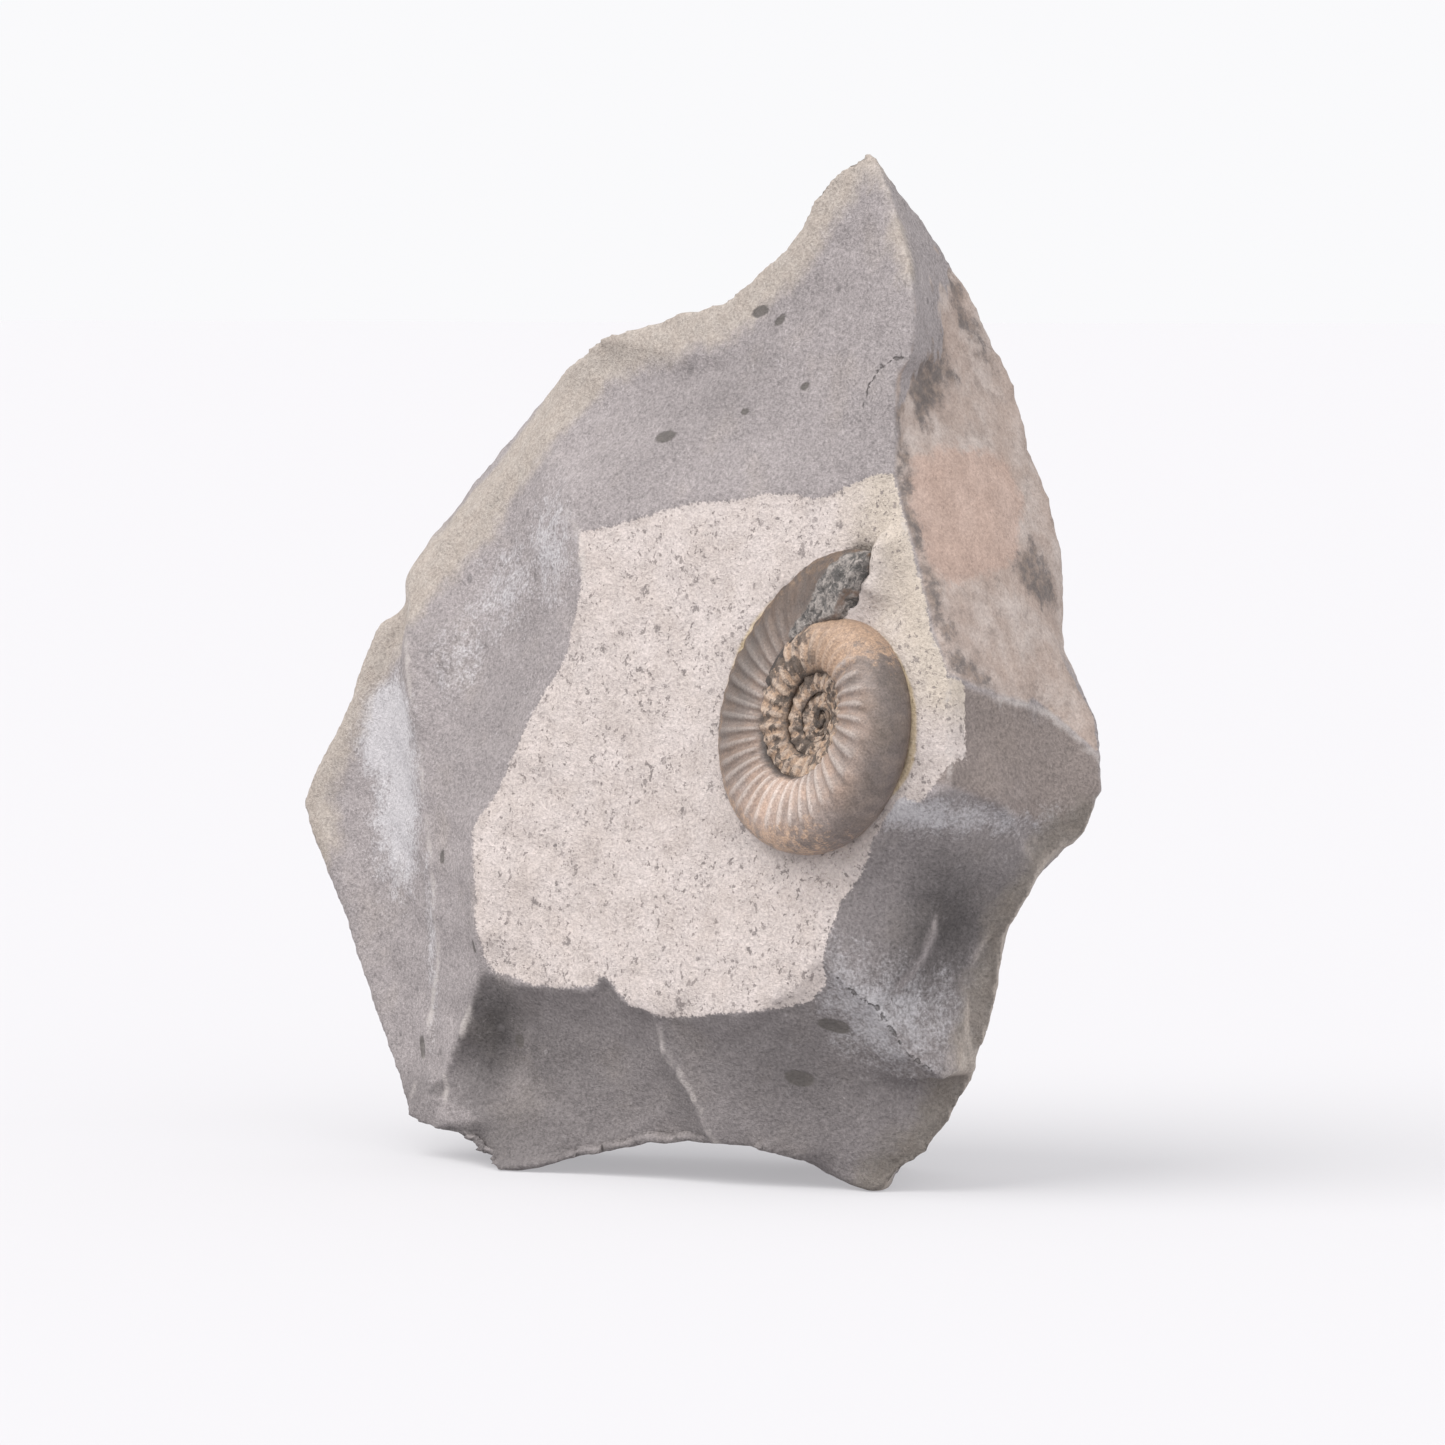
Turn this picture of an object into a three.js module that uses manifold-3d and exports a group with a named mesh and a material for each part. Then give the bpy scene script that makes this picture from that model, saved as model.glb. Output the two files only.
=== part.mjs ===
// An ammonite in its matrix: a broken slab of mudstone, standing on its lower edge, with a ribbed
// ammonite half sunk in the pale patch of its front. The stone is one solid and the shell another.
// Millimetres. +X is to the right along the front, -Y is out of the front and +Z is up. The origin is
// on the ground, below the middle of the object.
import * as THREE from "three";
import { mergeVertices } from "three/addons/utils/BufferGeometryUtils.js";
import Module from "manifold-3d";

// Driving dimensions.
const STONE_GRAIN = 4; // longest straight run between two vertices along a broken edge
const SHELL_RADIUS = 19.7; // coil centre to the outside of the last whorl, at its mouth
const WHORL_GROWTH = 1.66; // how much wider the coil gets in one turn
const WHORL_HALF_HEIGHT = 0.3; // of a whorl's section, across the coil, as a share of its radius
const WHORL_HALF_WIDTH = 0.28; // of a whorl's section, along the coil's axis, as a share of its radius
const WHORLS = 2.5; // turns modelled, from the core to the mouth
const CORE_DIP = 0.35; // how far the core lies below the innermost seam, as a share of that seam's height
const RIBS_PER_WHORL = 38;
const STEPS_PER_RIB = 2;
const RIB_HEIGHT = 0.02; // as a share of the whorl's radius
const FLANK_STEPS = 4; // vertices across the flank, from seam to seam
const VENTER_STEPS = 4; // vertices over the outside edge of the last whorl
const MOUTH_ANGLE = 88; // degrees, anticlockwise from +X in the coil's plane
const CRUSHED_TURN = 0.5; // last part of a turn, crushed more and more towards the mouth
const MOUTH_THICKNESS = 0.45; // of the mouth, as a share of the uncrushed whorl
const SEAT_GAP = 0.35; // between the shell and the stone
const SEAT_SPOKES = 60;
const SEAT_RINGS = 5;
const SEAT_START = 2; // steps of the coil that the hole reaches past the shell's mouth
const SHELL_CENTRE = [15.4, -2, 54.2];
const SHELL_LEAN = 11; // degrees that the coil's axis points above level
const SHELL_TURN = -13; // degrees that the coil's axis turns from -Y towards -X

// The corners of the stone, by the broken edge that they lie on. The front is at about Y 0.
const CORNERS = {
  apex: [[12.5, 10.5, 119.2]],
  // the ridge between the front and the weathered right side, downwards
  crest: [
    [16, 9, 115.5], [18.5, 8, 111.5], [21.5, 6.5, 106], [23, 5.5, 102], [23.5, 4.5, 95], [21.5, 4, 93],
    [22, 3, 82.5], [24, 2, 78], [27, 1.5, 71], [29.5, 0.5, 65], [32, 0.5, 59.5],
  ],
  // the upper left edge of the front, downwards
  brow: [
    [8, 10.5, 117], [4.5, 10.5, 114.5], [-0.5, 11, 108], [-10, 11, 102], [-22, 12, 99.5], [-30, 11.5, 97.5],
    [-33, 12.5, 96], [-36, 13, 91.5], [-41, 12, 85], [-48.5, 12, 78.5], [-55, 11, 72],
  ],
  // the far edge of the bevel behind the brow
  bevel: [[-44, 19, 91], [-52.5, 20, 84], [-57, 18.5, 78.5], [-60, 14.5, 72.5]],
  // the thin left edge, downwards
  wing: [
    [-62, 12.5, 66], [-66.5, 11.5, 63], [-69, 11, 57.5], [-72, 10.5, 49], [-75.5, 9.5, 41], [-73.5, 9, 37],
    [-67, 8, 27], [-61, 6, 17.5], [-55, 4, 9], [-52.5, 2.5, 6],
  ],
  // the ridge between the wing and the front, downwards
  keel: [
    [-59.5, 10, 67], [-55.5, 6, 60], [-52.5, 4, 53], [-51, 3.5, 47.5], [-48, 2, 36.5], [-46.5, 1.5, 30.5],
    [-46, 1.5, 23.5], [-46.5, 1.5, 16.5], [-48.5, 2, 11.5], [-51, 2.5, 7],
  ],
  notch: [[-28, 3, 78]],
  crease: [[-44.5, 1, 43.5]],
  // the edges of the pale patch: along its top, down its left and along its foot to the right
  patch: [[-21, 2.5, 75], [-9, 2.5, 78], [8.5, 2.5, 79]],
  left: [
    [-24, 1.5, 74], [-23, 1, 68], [-24, 0, 61], [-30, -1, 51.5], [-34.5, -2, 43.5], [-37.5, -2.5, 39],
    [-36, -4, 29],
  ],
  low: [
    [-35, -3.5, 23], [-29.5, -4, 22], [-24, -4.5, 22], [-17, -4.5, 22], [-15, -4.5, 24], [-12, -5, 21],
    [-7.5, -5, 20], [9, -5, 21], [14.5, -4.5, 24.5], [17, -4, 27.5], [17.5, -3, 36.5], [23, -2.5, 40],
    [27.5, -2, 45.5],
  ],
  // the far edge of the weathered right side, downwards
  rim: [
    [14, 13, 116], [14.5, 15.5, 112.5], [15, 21, 107.5], [16, 25, 102.5], [18, 27.5, 96.5], [19.5, 29, 92],
    [20.5, 29.5, 87.5], [21.5, 29, 84.5], [24.5, 29.5, 78.5], [26, 29.5, 73], [26.5, 29, 68.5],
    [27.5, 27.5, 64.5], [28.5, 27, 61], [31.5, 26.5, 56], [34.5, 25, 53],
  ],
  middle: [[23, 10, 86], [21.5, 20.5, 88]],
  // round the shelf below the weathered side
  shelf: [
    [33, 8.5, 57], [33, 17.5, 55], [36.5, 23.5, 49], [37.5, 22.5, 46.5], [37.5, 19.5, 41.5], [35.5, 13, 43],
    [35, 6, 45.5], [33, -0.5, 48],
  ],
  // the right edge below the shelf, downwards
  side: [
    [35.5, 16.5, 40], [35, 14, 37], [33, 14, 34], [31.5, 14, 32], [29.5, 14, 29], [29, 13.5, 25],
    [28.5, 13.5, 22], [27.5, 13, 18], [26.5, 12.5, 14], [25.5, 11.5, 11], [24, 10, 7], [22, 8.5, 4],
    [19.5, 7.5, 2],
  ],
  spur: [[30.5, 2.5, 38.5], [27, 3, 33.5], [25, 2, 28]],
  crack: [[19.5, -2.5, 24.5], [22, -0.5, 22], [24, 2.5, 16.5], [26.5, 6.5, 13.5]],
  valley: [[5, -2, 14]],
  gully: [[-7.5, -3, 15.5], [-4, -2, 10.5]],
  step: [[-18, -1.5, 6.5], [-12, -1.5, 9]],
  // the scar at the lower left
  scar: [[-35.5, -3.5, 21], [-39.5, -2.5, 15], [-43, -1, 10], [-47.5, 0.5, 8]],
  fold: [[-34, -1, 14], [-35, -1.5, 7.5], [-34, -3.5, 3]],
  toe: [[-51, 1, 4.5], [-48.5, 0, 7], [-43, -1.5, 7], [-36, -3, 5.5], [-41, -2, 3], [-46, 0, 3.5]],
  heel: [[-34, -5, 1], [-37.5, -3, 2]],
  // the arch under the front, from right to left
  arch: [
    [13.5, 5.5, 0.5], [11, 4, 2.5], [8.5, 2.5, 3.2], [4, 0.5, 4], [-1.5, -1, 4.5], [-7, -1, 4],
    [-12.5, -1, 3.5], [-19, -2, 2], [-23.5, -3, 1],
  ],
  // the four worn flats that the stone stands on, and the hollows between them
  footA: [[-32, -5, 0], [-29, -4.5, 0], [-28.5, -2, 0], [-31, -2.5, 0]],
  footB: [[16, 5.5, 0], [17.5, 6.5, 0], [16.5, 10, 0], [13.5, 9, 0]],
  footC: [[-2, 25, 0], [3, 25.5, 0], [2.5, 29.5, 0], [-2.5, 29.5, 0]],
  footD: [[-42.5, 12, 0], [-38.5, 12.5, 0], [-37.5, 16.5, 0], [-41.5, 18, 0]],
  sole: [[14, 18, 6], [-12, 29, 7], [-26, 25, 7.5], [-46, 7, 5]],
  // the back
  roof: [[2, 22, 104], [-12, 25, 97], [-27, 25, 93]],
  back: [
    [6, 33, 86], [-22, 33, 80], [12, 34, 60], [-14, 36, 55], [-46, 26, 60], [14, 32, 34], [-14, 34, 28],
    [-42, 26, 30],
  ],
};

// The faces of the stone. Each is a loop of corners, anticlockwise from outside, and how deep it is
// dished in its middle. A face that swells has a depth below 0.
const FACES = [
  ["apex brow1-9 notch patch1-3 crest7-1", 1],
  ["patch1 left1-7 low1-13 shelf8 crest11-7 patch3-2", 0],
  ["patch1 notch left1", 0],
  ["brow9-11 keel1-4 crease1 left6-1 notch", 2],
  ["keel4-7 scar1 low1 left7-6 crease1", 0.6],
  ["keel7-10 scar4-1", 0.5],
  ["keel1 wing1-10 keel10-2", 1.5],
  ["wing10 toe1-2 keel10", 0],
  ["keel10 toe2-4 scar3-4", 0],
  ["toe2-1 toe6-3", 0.2],
  ["low1 scar1-3 toe4 fold2-1 low2", 1],
  ["toe4-5 heel2-1 footA1 fold3-2", 0.2],
  ["low2 fold1-3 footA1-2 arch9-8 step1-2 gully2-1 low6-3", 1.6],
  ["step1 arch8-5 gully2 step2", 0.5],
  ["low6 gully1-2 arch5-3 valley1 low9-7", 0.4],
  ["low9 valley1 arch3-1 footB1-2 side13-9 crack4-1 low10", 0.4],
  ["low10 crack1-2 spur3-1 shelf8 low13-11", 1],
  ["spur1-3 crack2-4 side9-2", 2],
  ["shelf8 spur1 side2-1 shelf5-7", 0.8],
  ["crest11 shelf8-1", 0.4],
  ["apex crest1-3 rim3-1", 0.2],
  ["crest3-7 middle1-2 rim7-3", 1.2],
  ["crest7-11 shelf1-3 rim15-7 middle2-1", -1.2],
  ["brow7 bevel1 brow9-8", 0],
  ["bevel1-2 brow10-9", 0],
  ["bevel2-3 brow11-10", 0],
  ["bevel3-4 keel1 brow11", 0],
  ["bevel4 wing1 keel1", 0],
  ["apex rim1-3 roof1 brow3-1", 0.8],
  ["brow3 roof1-2 brow4", 0.6],
  ["brow4 roof2-3 brow6-5", 0.6],
  ["brow6 roof3 bevel1 brow7", 0.4],
  ["roof1 rim3-6 back1", -0.6],
  ["roof1 back1-2 roof2", -0.8],
  ["roof2 back2 roof3", -0.3],
  ["roof3 back2 back5 bevel2-1", -0.8],
  ["bevel2 back5 bevel4-3", -0.4],
  ["back1 rim6-10 back3", -0.6],
  ["back1 back3-4 back2", -0.8],
  ["back3 rim10-15 shelf3-4 back6", 1.2],
  ["back3 back6-7 back4", -0.8],
  ["back2 back4-5", -0.6],
  ["back4 back7-8 back5", -0.8],
  ["back5 back8 wing7-1 bevel4", 1.2],
  ["back8 footD4 footD1 sole4 wing10-7", 1],
  ["toe6 toe1 wing10 sole4", 0],
  ["back7 footC4 sole2-3 footD3-4 back8", 1],
  ["back6 footC3-4 back7", 0.5],
  ["shelf4-5 side1-8 back6", 1.2],
  ["side8-13 footB2-3 sole1 footC2-3 back6", 1],
  ["footA4 heel1-2 toe5-6 sole4 footD1-3 sole3-2 footC4 footC1-2 sole1 footB3-4 arch1-9 footA3", 3],
  ["footC4-1", 0],
  ["footD1 footD4-2", 0],
  ["footB1 arch1 footB4", 0],
  ["footB1 footB4-2", 0],
  ["arch9 footA2-3", 0],
  ["footA1 heel1 footA4", 0],
  ["footA1 footA4-2", 0],
];

// "crest7-5 notch" gives the corners crest7, crest6, crest5 and notch.
function loop(words) {
  return words.split(" ").flatMap((word) => {
    const [, edge, first, last] = word.match(/^([a-zA-Z]+)(\d*)-?(\d*)$/);
    const start = Number(first || 1);
    const end = Number(last || start);
    const way = Math.sign(end - start) || 1;
    const run = Array.from({ length: Math.abs(end - start) + 1 }, (_, i) => start + i * way);
    return run.map((i) => new THREE.Vector3(...CORNERS[edge][i - 1]));
  });
}

// The loop with each side cut into equal runs no longer than the grain.
function cutSides(corners) {
  return corners.flatMap((from, i) => {
    const to = corners[(i + 1) % corners.length];
    const runs = Math.max(1, Math.ceil(from.distanceTo(to) / STONE_GRAIN - 1e-6));
    return Array.from({ length: runs }, (_, k) => from.clone().lerp(to, k / runs));
  });
}

function middleOf(points) {
  return points.reduce((sum, p) => sum.add(p), new THREE.Vector3()).divideScalar(points.length);
}

function normalOf(points, middle) {
  const normal = new THREE.Vector3();
  points.forEach((p, i) => {
    const next = points[(i + 1) % points.length].clone().sub(middle);
    normal.add(p.clone().sub(middle).cross(next));
  });
  return normal.normalize();
}

// Triangles between the rings of a dished face, from its outline in to its middle point.
function faceTriangles(corners, depth) {
  const edge = cutSides(corners);
  const middle = middleOf(edge);
  const inwards = normalOf(edge, middle).negate();
  const reach = edge.reduce((sum, p) => sum + p.distanceTo(middle), 0) / edge.length;
  const rings = Math.max(1, Math.round(reach / (1.6 * STONE_GRAIN)));
  const ring = (k) => {
    const out = 1 - k / rings;
    return edge.map((p) => middle.clone().lerp(p, out).addScaledVector(inwards, depth * (1 - out * out)));
  };
  const triangles = [];
  let outer = edge;
  for (let k = 1; k <= rings; k += 1) {
    const inner = ring(k);
    outer.forEach((p, i) => {
      const j = (i + 1) % outer.length;
      triangles.push(p, outer[j], inner[i]);
      if (k < rings) triangles.push(outer[j], inner[j], inner[i]);
    });
    outer = inner;
  }
  return triangles;
}

function closedGeometry(points) {
  const soup = new THREE.BufferGeometry().setFromPoints(points);
  return mergeVertices(soup, 1e-4);
}

function stoneGeometry() {
  return closedGeometry(FACES.flatMap(([words, depth]) => faceTriangles(loop(words), depth)));
}

// The section of a whorl of radius 1 is an ellipse. An angle on it is 0 at the outside edge (the
// venter) and PI at the inside edge.
function sectionPoint(angle) {
  return {
    out: 1 - WHORL_HALF_HEIGHT + WHORL_HALF_HEIGHT * Math.cos(angle),
    up: WHORL_HALF_WIDTH * Math.sin(angle),
  };
}

// The seam is where a whorl's section meets the section of the whorl inside it.
function findSeam() {
  const cover = (angle) => {
    const inner = sectionPoint(angle);
    const across = (inner.out / WHORL_GROWTH - 1 + WHORL_HALF_HEIGHT) / WHORL_HALF_HEIGHT;
    return { across, above: inner.up / WHORL_GROWTH / WHORL_HALF_WIDTH - Math.sqrt(1 - across * across) };
  };
  let covered = Math.PI / 4;
  let open = Math.PI / 2;
  for (let i = 0; i < 40; i += 1) {
    const angle = (covered + open) / 2;
    if (cover(angle).above > 0) open = angle;
    else covered = angle;
  }
  return { outer: open, inner: Math.acos(cover(open).across) };
}

const SEAM = findSeam();
const STEPS_PER_WHORL = RIBS_PER_WHORL * STEPS_PER_RIB;
const LAST_STEP = Math.round(WHORLS * STEPS_PER_WHORL);

const radiusAt = (step) => SHELL_RADIUS * WHORL_GROWTH ** ((step - LAST_STEP) / STEPS_PER_WHORL);
const spokeAt = (step) =>
  THREE.MathUtils.degToRad(MOUTH_ANGLE) + (2 * Math.PI * (LAST_STEP - step)) / STEPS_PER_WHORL;

// The crushed part of the last whorl gets thinner towards the mouth.
function thicknessAt(step) {
  const turnsLeft = (LAST_STEP - step) / STEPS_PER_WHORL;
  return THREE.MathUtils.lerp(MOUTH_THICKNESS, 1, THREE.MathUtils.smoothstep(turnsLeft, 0, CRUSHED_TURN));
}

// A vertex of the shell's upper half. Rows 0 to FLANK_STEPS go over the flank from seam to seam, and
// the rows after them go on over the venter.
function shellPoint(step, row) {
  if (row === 0 && step >= STEPS_PER_WHORL) return shellPoint(step - STEPS_PER_WHORL, FLANK_STEPS);
  const onFlank = Math.min(row / FLANK_STEPS, 1);
  const onVenter = Math.max(row - FLANK_STEPS, 0) / VENTER_STEPS;
  const angle = THREE.MathUtils.lerp(SEAM.inner, SEAM.outer, onFlank) - SEAM.outer * onVenter;
  const { out, up } = sectionPoint(angle);
  const rib = RIB_HEIGHT * Math.sin(Math.PI * onFlank) * Math.cos((2 * Math.PI * step) / STEPS_PER_RIB);
  const radius = radiusAt(step);
  const spoke = spokeAt(step);
  const far = radius * (out + rib * Math.cos(angle));
  const high = radius * (up + rib * Math.sin(angle)) * thicknessAt(step);
  return new THREE.Vector3(far * Math.cos(spoke), far * Math.sin(spoke), high);
}

const last = FLANK_STEPS + VENTER_STEPS;

// The upper half of the shell: the flanks, the venter of the last whorl, the core and half the mouth.
function halfShell() {
  const triangles = [];
  const strip = (near, far) => {
    // near and far are rows of points that grow the same way round
    for (let i = 0; i + 1 < near.length; i += 1) {
      triangles.push(near[i], near[i + 1], far[i], near[i + 1], far[i + 1], far[i]);
    }
  };
  const along = (first, row) =>
    Array.from({ length: LAST_STEP - first + 1 }, (_, i) => shellPoint(first + i, row));
  for (let row = 0; row < FLANK_STEPS; row += 1) strip(along(0, row), along(0, row + 1));
  const free = LAST_STEP - STEPS_PER_WHORL;
  for (let row = FLANK_STEPS; row < last; row += 1) strip(along(free, row), along(free, row + 1));

  // the core closes the hole inside the first turn
  const hole = [
    ...Array.from({ length: STEPS_PER_WHORL }, (_, i) => shellPoint(i, 0)),
    ...Array.from({ length: FLANK_STEPS }, (_, i) => shellPoint(0, FLANK_STEPS - i)),
  ];
  const core = new THREE.Vector3(0, 0, shellPoint(0, 0).z * (1 - CORE_DIP));
  hole.forEach((p, i) => triangles.push(core, hole[(i + 1) % hole.length], p));

  // the mouth, between the end of the last whorl and the venter of the whorl inside it
  const rim = Array.from({ length: last + 1 }, (_, row) => shellPoint(LAST_STEP, row));
  const under = Array.from({ length: VENTER_STEPS + 1 }, (_, i) => shellPoint(free, FLANK_STEPS + i));
  const gape = rim[last].clone().lerp(under[VENTER_STEPS], 0.5);
  for (let i = 0; i < last; i += 1) triangles.push(rim[i + 1], rim[i], gape);
  for (let i = 0; i < VENTER_STEPS; i += 1) triangles.push(under[i], under[i + 1], gape);
  return triangles;
}

function mirrored(triangles) {
  const flipped = [];
  for (let i = 0; i < triangles.length; i += 3) {
    const [a, b, c] = triangles.slice(i, i + 3).map((p) => new THREE.Vector3(p.x, p.y, -p.z));
    flipped.push(a, c, b);
  }
  return flipped;
}

function shellGeometry() {
  const upper = halfShell();
  return closedGeometry([...upper, ...mirrored(upper)]);
}

// The seat is the hole in the stone: the outside of the shell with no ribs and no umbilicus, made
// larger all round by the gap. A spoke of it goes from the top of the whorl out to the middle plane.
function seatSpoke(index) {
  const step = LAST_STEP + SEAT_START - (index * STEPS_PER_WHORL) / SEAT_SPOKES;
  const radius = radiusAt(step);
  const around = spokeAt(step);
  return Array.from({ length: SEAT_RINGS + 1 }, (_, ring) => {
    const angle = (Math.PI / 2) * (1 - ring / SEAT_RINGS);
    const { out, up } = sectionPoint(angle);
    const far = radius * out + (ring > 0 ? 2 : 0) * SEAT_GAP;
    const cover = radius * (up + RIB_HEIGHT) * thicknessAt(step) + SEAT_GAP;
    const high = ring < SEAT_RINGS ? cover : 0;
    return new THREE.Vector3(far * Math.cos(around), far * Math.sin(around), high);
  });
}

function seatGeometry() {
  const triangles = [];
  const middle = new THREE.Vector3(0, 0, SHELL_RADIUS * WHORL_HALF_WIDTH);
  const sector = (here, next) => {
    triangles.push(middle, here[0], next[0]);
    for (let ring = 0; ring < SEAT_RINGS; ring += 1) {
      triangles.push(here[ring], here[ring + 1], next[ring]);
      triangles.push(here[ring + 1], next[ring + 1], next[ring]);
    }
  };
  for (let spoke = 0; spoke < SEAT_SPOKES; spoke += 1) sector(seatSpoke(spoke), seatSpoke(spoke + 1));
  // the step in the outline, past the mouth
  sector(seatSpoke(SEAT_SPOKES), seatSpoke(0));
  return closedGeometry([...triangles, ...mirrored(triangles)]);
}

const wasm = await Module();
wasm.setup();

function toSolid(geometry) {
  return new wasm.Manifold(new wasm.Mesh({
    numProp: 3,
    vertProperties: Float32Array.from(geometry.attributes.position.array),
    triVerts: Uint32Array.from(geometry.index.array),
  }));
}

function toGeometry(solid) {
  const { vertProperties, triVerts } = solid.getMesh();
  const geometry = new THREE.BufferGeometry();
  geometry.setAttribute("position", new THREE.BufferAttribute(vertProperties, 3));
  geometry.setIndex(new THREE.BufferAttribute(triVerts, 1));
  return geometry;
}

const shellPlace = new THREE.Object3D();
shellPlace.position.set(...SHELL_CENTRE);
shellPlace.rotation.set(
  THREE.MathUtils.degToRad(90 - SHELL_LEAN), 0, THREE.MathUtils.degToRad(SHELL_TURN), "ZYX");
shellPlace.updateMatrix();

const seat = toSolid(seatGeometry().applyMatrix4(shellPlace.matrix));
const stone = toGeometry(toSolid(stoneGeometry()).subtract(seat));
const shell = shellGeometry().applyMatrix4(shellPlace.matrix);

const mudstone = new THREE.MeshStandardMaterial({ color: 0x9a9591, roughness: 0.9, metalness: 0 });
const fossil = new THREE.MeshStandardMaterial({ color: 0xa29383, roughness: 0.6, metalness: 0 });
const parts = [["matrix_stone", stone, mudstone], ["ammonite_shell", shell, fossil]];

// The origin goes to the ground below the middle of the whole object.
const box = new THREE.Box3();
for (const [, geometry] of parts) {
  geometry.computeBoundingBox();
  box.union(geometry.boundingBox);
}
const middle = box.getCenter(new THREE.Vector3());

const ammonite = new THREE.Group();
for (const [name, geometry, material] of parts) {
  const mesh = new THREE.Mesh(geometry, material);
  mesh.name = name;
  mesh.position.set(-middle.x, -middle.y, -box.min.z);
  ammonite.add(mesh);
}

export default ammonite;
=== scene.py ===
import math

import bmesh
import bpy
import numpy as np
from bpy.props import FloatProperty, FloatVectorProperty, IntProperty, PointerProperty
from mathutils import Matrix, Vector, noise
from mathutils.kdtree import KDTree


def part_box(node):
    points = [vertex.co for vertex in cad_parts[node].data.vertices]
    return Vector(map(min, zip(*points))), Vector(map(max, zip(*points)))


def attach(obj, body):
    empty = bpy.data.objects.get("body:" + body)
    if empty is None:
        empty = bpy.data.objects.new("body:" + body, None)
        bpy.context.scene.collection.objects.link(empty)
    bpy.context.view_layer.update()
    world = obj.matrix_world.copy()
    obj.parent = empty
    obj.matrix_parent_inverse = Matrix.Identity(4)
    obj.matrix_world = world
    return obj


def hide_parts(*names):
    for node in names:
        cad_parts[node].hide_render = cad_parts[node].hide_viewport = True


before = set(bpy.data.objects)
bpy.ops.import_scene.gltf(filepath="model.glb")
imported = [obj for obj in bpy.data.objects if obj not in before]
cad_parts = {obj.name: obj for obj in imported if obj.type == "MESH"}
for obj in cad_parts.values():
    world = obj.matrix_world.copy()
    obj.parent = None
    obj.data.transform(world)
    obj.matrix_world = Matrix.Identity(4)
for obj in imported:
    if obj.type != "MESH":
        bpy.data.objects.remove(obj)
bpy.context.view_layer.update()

bl_info = {
    "name": "Ammonite in its matrix",
    "version": (1, 0, 0),
    "blender": (4, 5, 0),
    "location": "3D View > Sidebar > Fossil",
    "description": "Builds a broken mudstone slab with a ribbed ammonite half sunk in its front",
    "category": "Add Mesh",
}

MM = 0.001

# The places below are in millimetres on a grid of the stone's own, so that the pale face of the front
# is at about Y 0. GRID_SHIFT takes them to the row's frame.
STONE_LOW_CORNER = Vector((-75.5, -5.0, 0.0))
GRID_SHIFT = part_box("matrix_stone")[0] / MM - STONE_LOW_CORNER
FACE_LEAN = math.tan(math.radians(7))  # how far the pale face leans back, per millimetre of height
FACE_LEVEL = 60.0  # the height at which the pale face is at Y 0

# Edges of the stone, as (X, Y, Z).
CREST = [
    (12.5, 10.5, 119), (16, 9, 115.5), (18.5, 8, 111.5), (21.5, 6.5, 106), (23, 5.5, 102), (23.5, 4.5, 95),
    (21.5, 4, 93), (22, 3, 82.5), (24, 2, 78), (27, 1.5, 71), (29.5, 0.5, 65), (32, 0.5, 59.5),
    (33, -0.5, 48),
]
LEFT_EDGE = [
    (12.5, 10.5, 119), (8, 10.5, 116), (-0.5, 11, 108), (-10, 11, 102), (-30, 11.5, 97.5), (-36, 13, 91.5),
    (-48.5, 12, 78.5), (-59.5, 10, 67), (-69, 11, 57.5), (-75.5, 9.5, 41), (-73.5, 9, 37),
]
LOW_RIGHT_EDGE = [
    (37.5, 19.5, 41.5), (35.5, 16.5, 40), (31.5, 14, 32), (28.5, 13.5, 22), (24, 10, 7), (17, 6, 0),
]
SHELF_EDGE = [(33, 8.5, 57), (33, 17.5, 55), (36.5, 23.5, 49)]

WING = [
    (-62, 12.5, 66), (-66.5, 11.5, 63), (-69, 11, 57.5), (-72, 10.5, 49), (-75.5, 9.5, 41), (-73.5, 9, 37),
    (-67, 8, 27), (-61, 6, 17.5), (-55, 4, 9), (-52.5, 2.5, 6),
]

# Outline of the pale patch on the front, as (X, Z).
PALE_PATCH = [
    (-24.5, 75), (-22, 75), (-18, 76), (-12.5, 77.5), (-7.5, 78.5), (-0.5, 79), (3.5, 79.7), (7.5, 79.7),
    (10.5, 79), (14, 80), (16.5, 81.2), (19.5, 82.2), (24, 82.2), (27, 75), (29.5, 70), (33, 62), (35, 56),
    (33.5, 51), (31, 47.5), (29.5, 45.5), (27.5, 46.3), (24, 42), (22, 38.5), (20, 36), (18.5, 33.5),
    (17.5, 30), (17, 27.5), (16.5, 24.5), (14.5, 22.5), (11, 21.5), (3, 20.5), (-6, 19.5), (-11, 20.5),
    (-13.5, 23), (-15.5, 24), (-16.5, 22.5), (-21.5, 22), (-26, 22), (-30, 23), (-33.5, 23.5), (-34.5, 25),
    (-36, 30.5), (-36.5, 35), (-37.5, 39.5), (-36, 42), (-33, 46), (-31.5, 49.5), (-29.5, 53.5), (-27, 57.5),
    (-25, 60), (-24, 64), (-23.5, 68), (-23.5, 70.5),
]

# Frosted patches on the front, as (X, Z, half width, half height, turn in degrees, strength).
FROST = [
    (-31, 73, 6, 7, 20, 0.62), (-40, 68, 8, 6, 30, 0.5), (-47, 59, 5, 5, 0, 0.45), (-60, 50, 6, 6, 10, 1.6),
    (-57, 42, 6, 11, 0, 1.15), (21, 21, 6, 8, 30, 0.75), (27, 44.5, 9, 2.4, -8, 0.95),
    (-48, 26, 2, 12, 5, 0.5),
]
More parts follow.
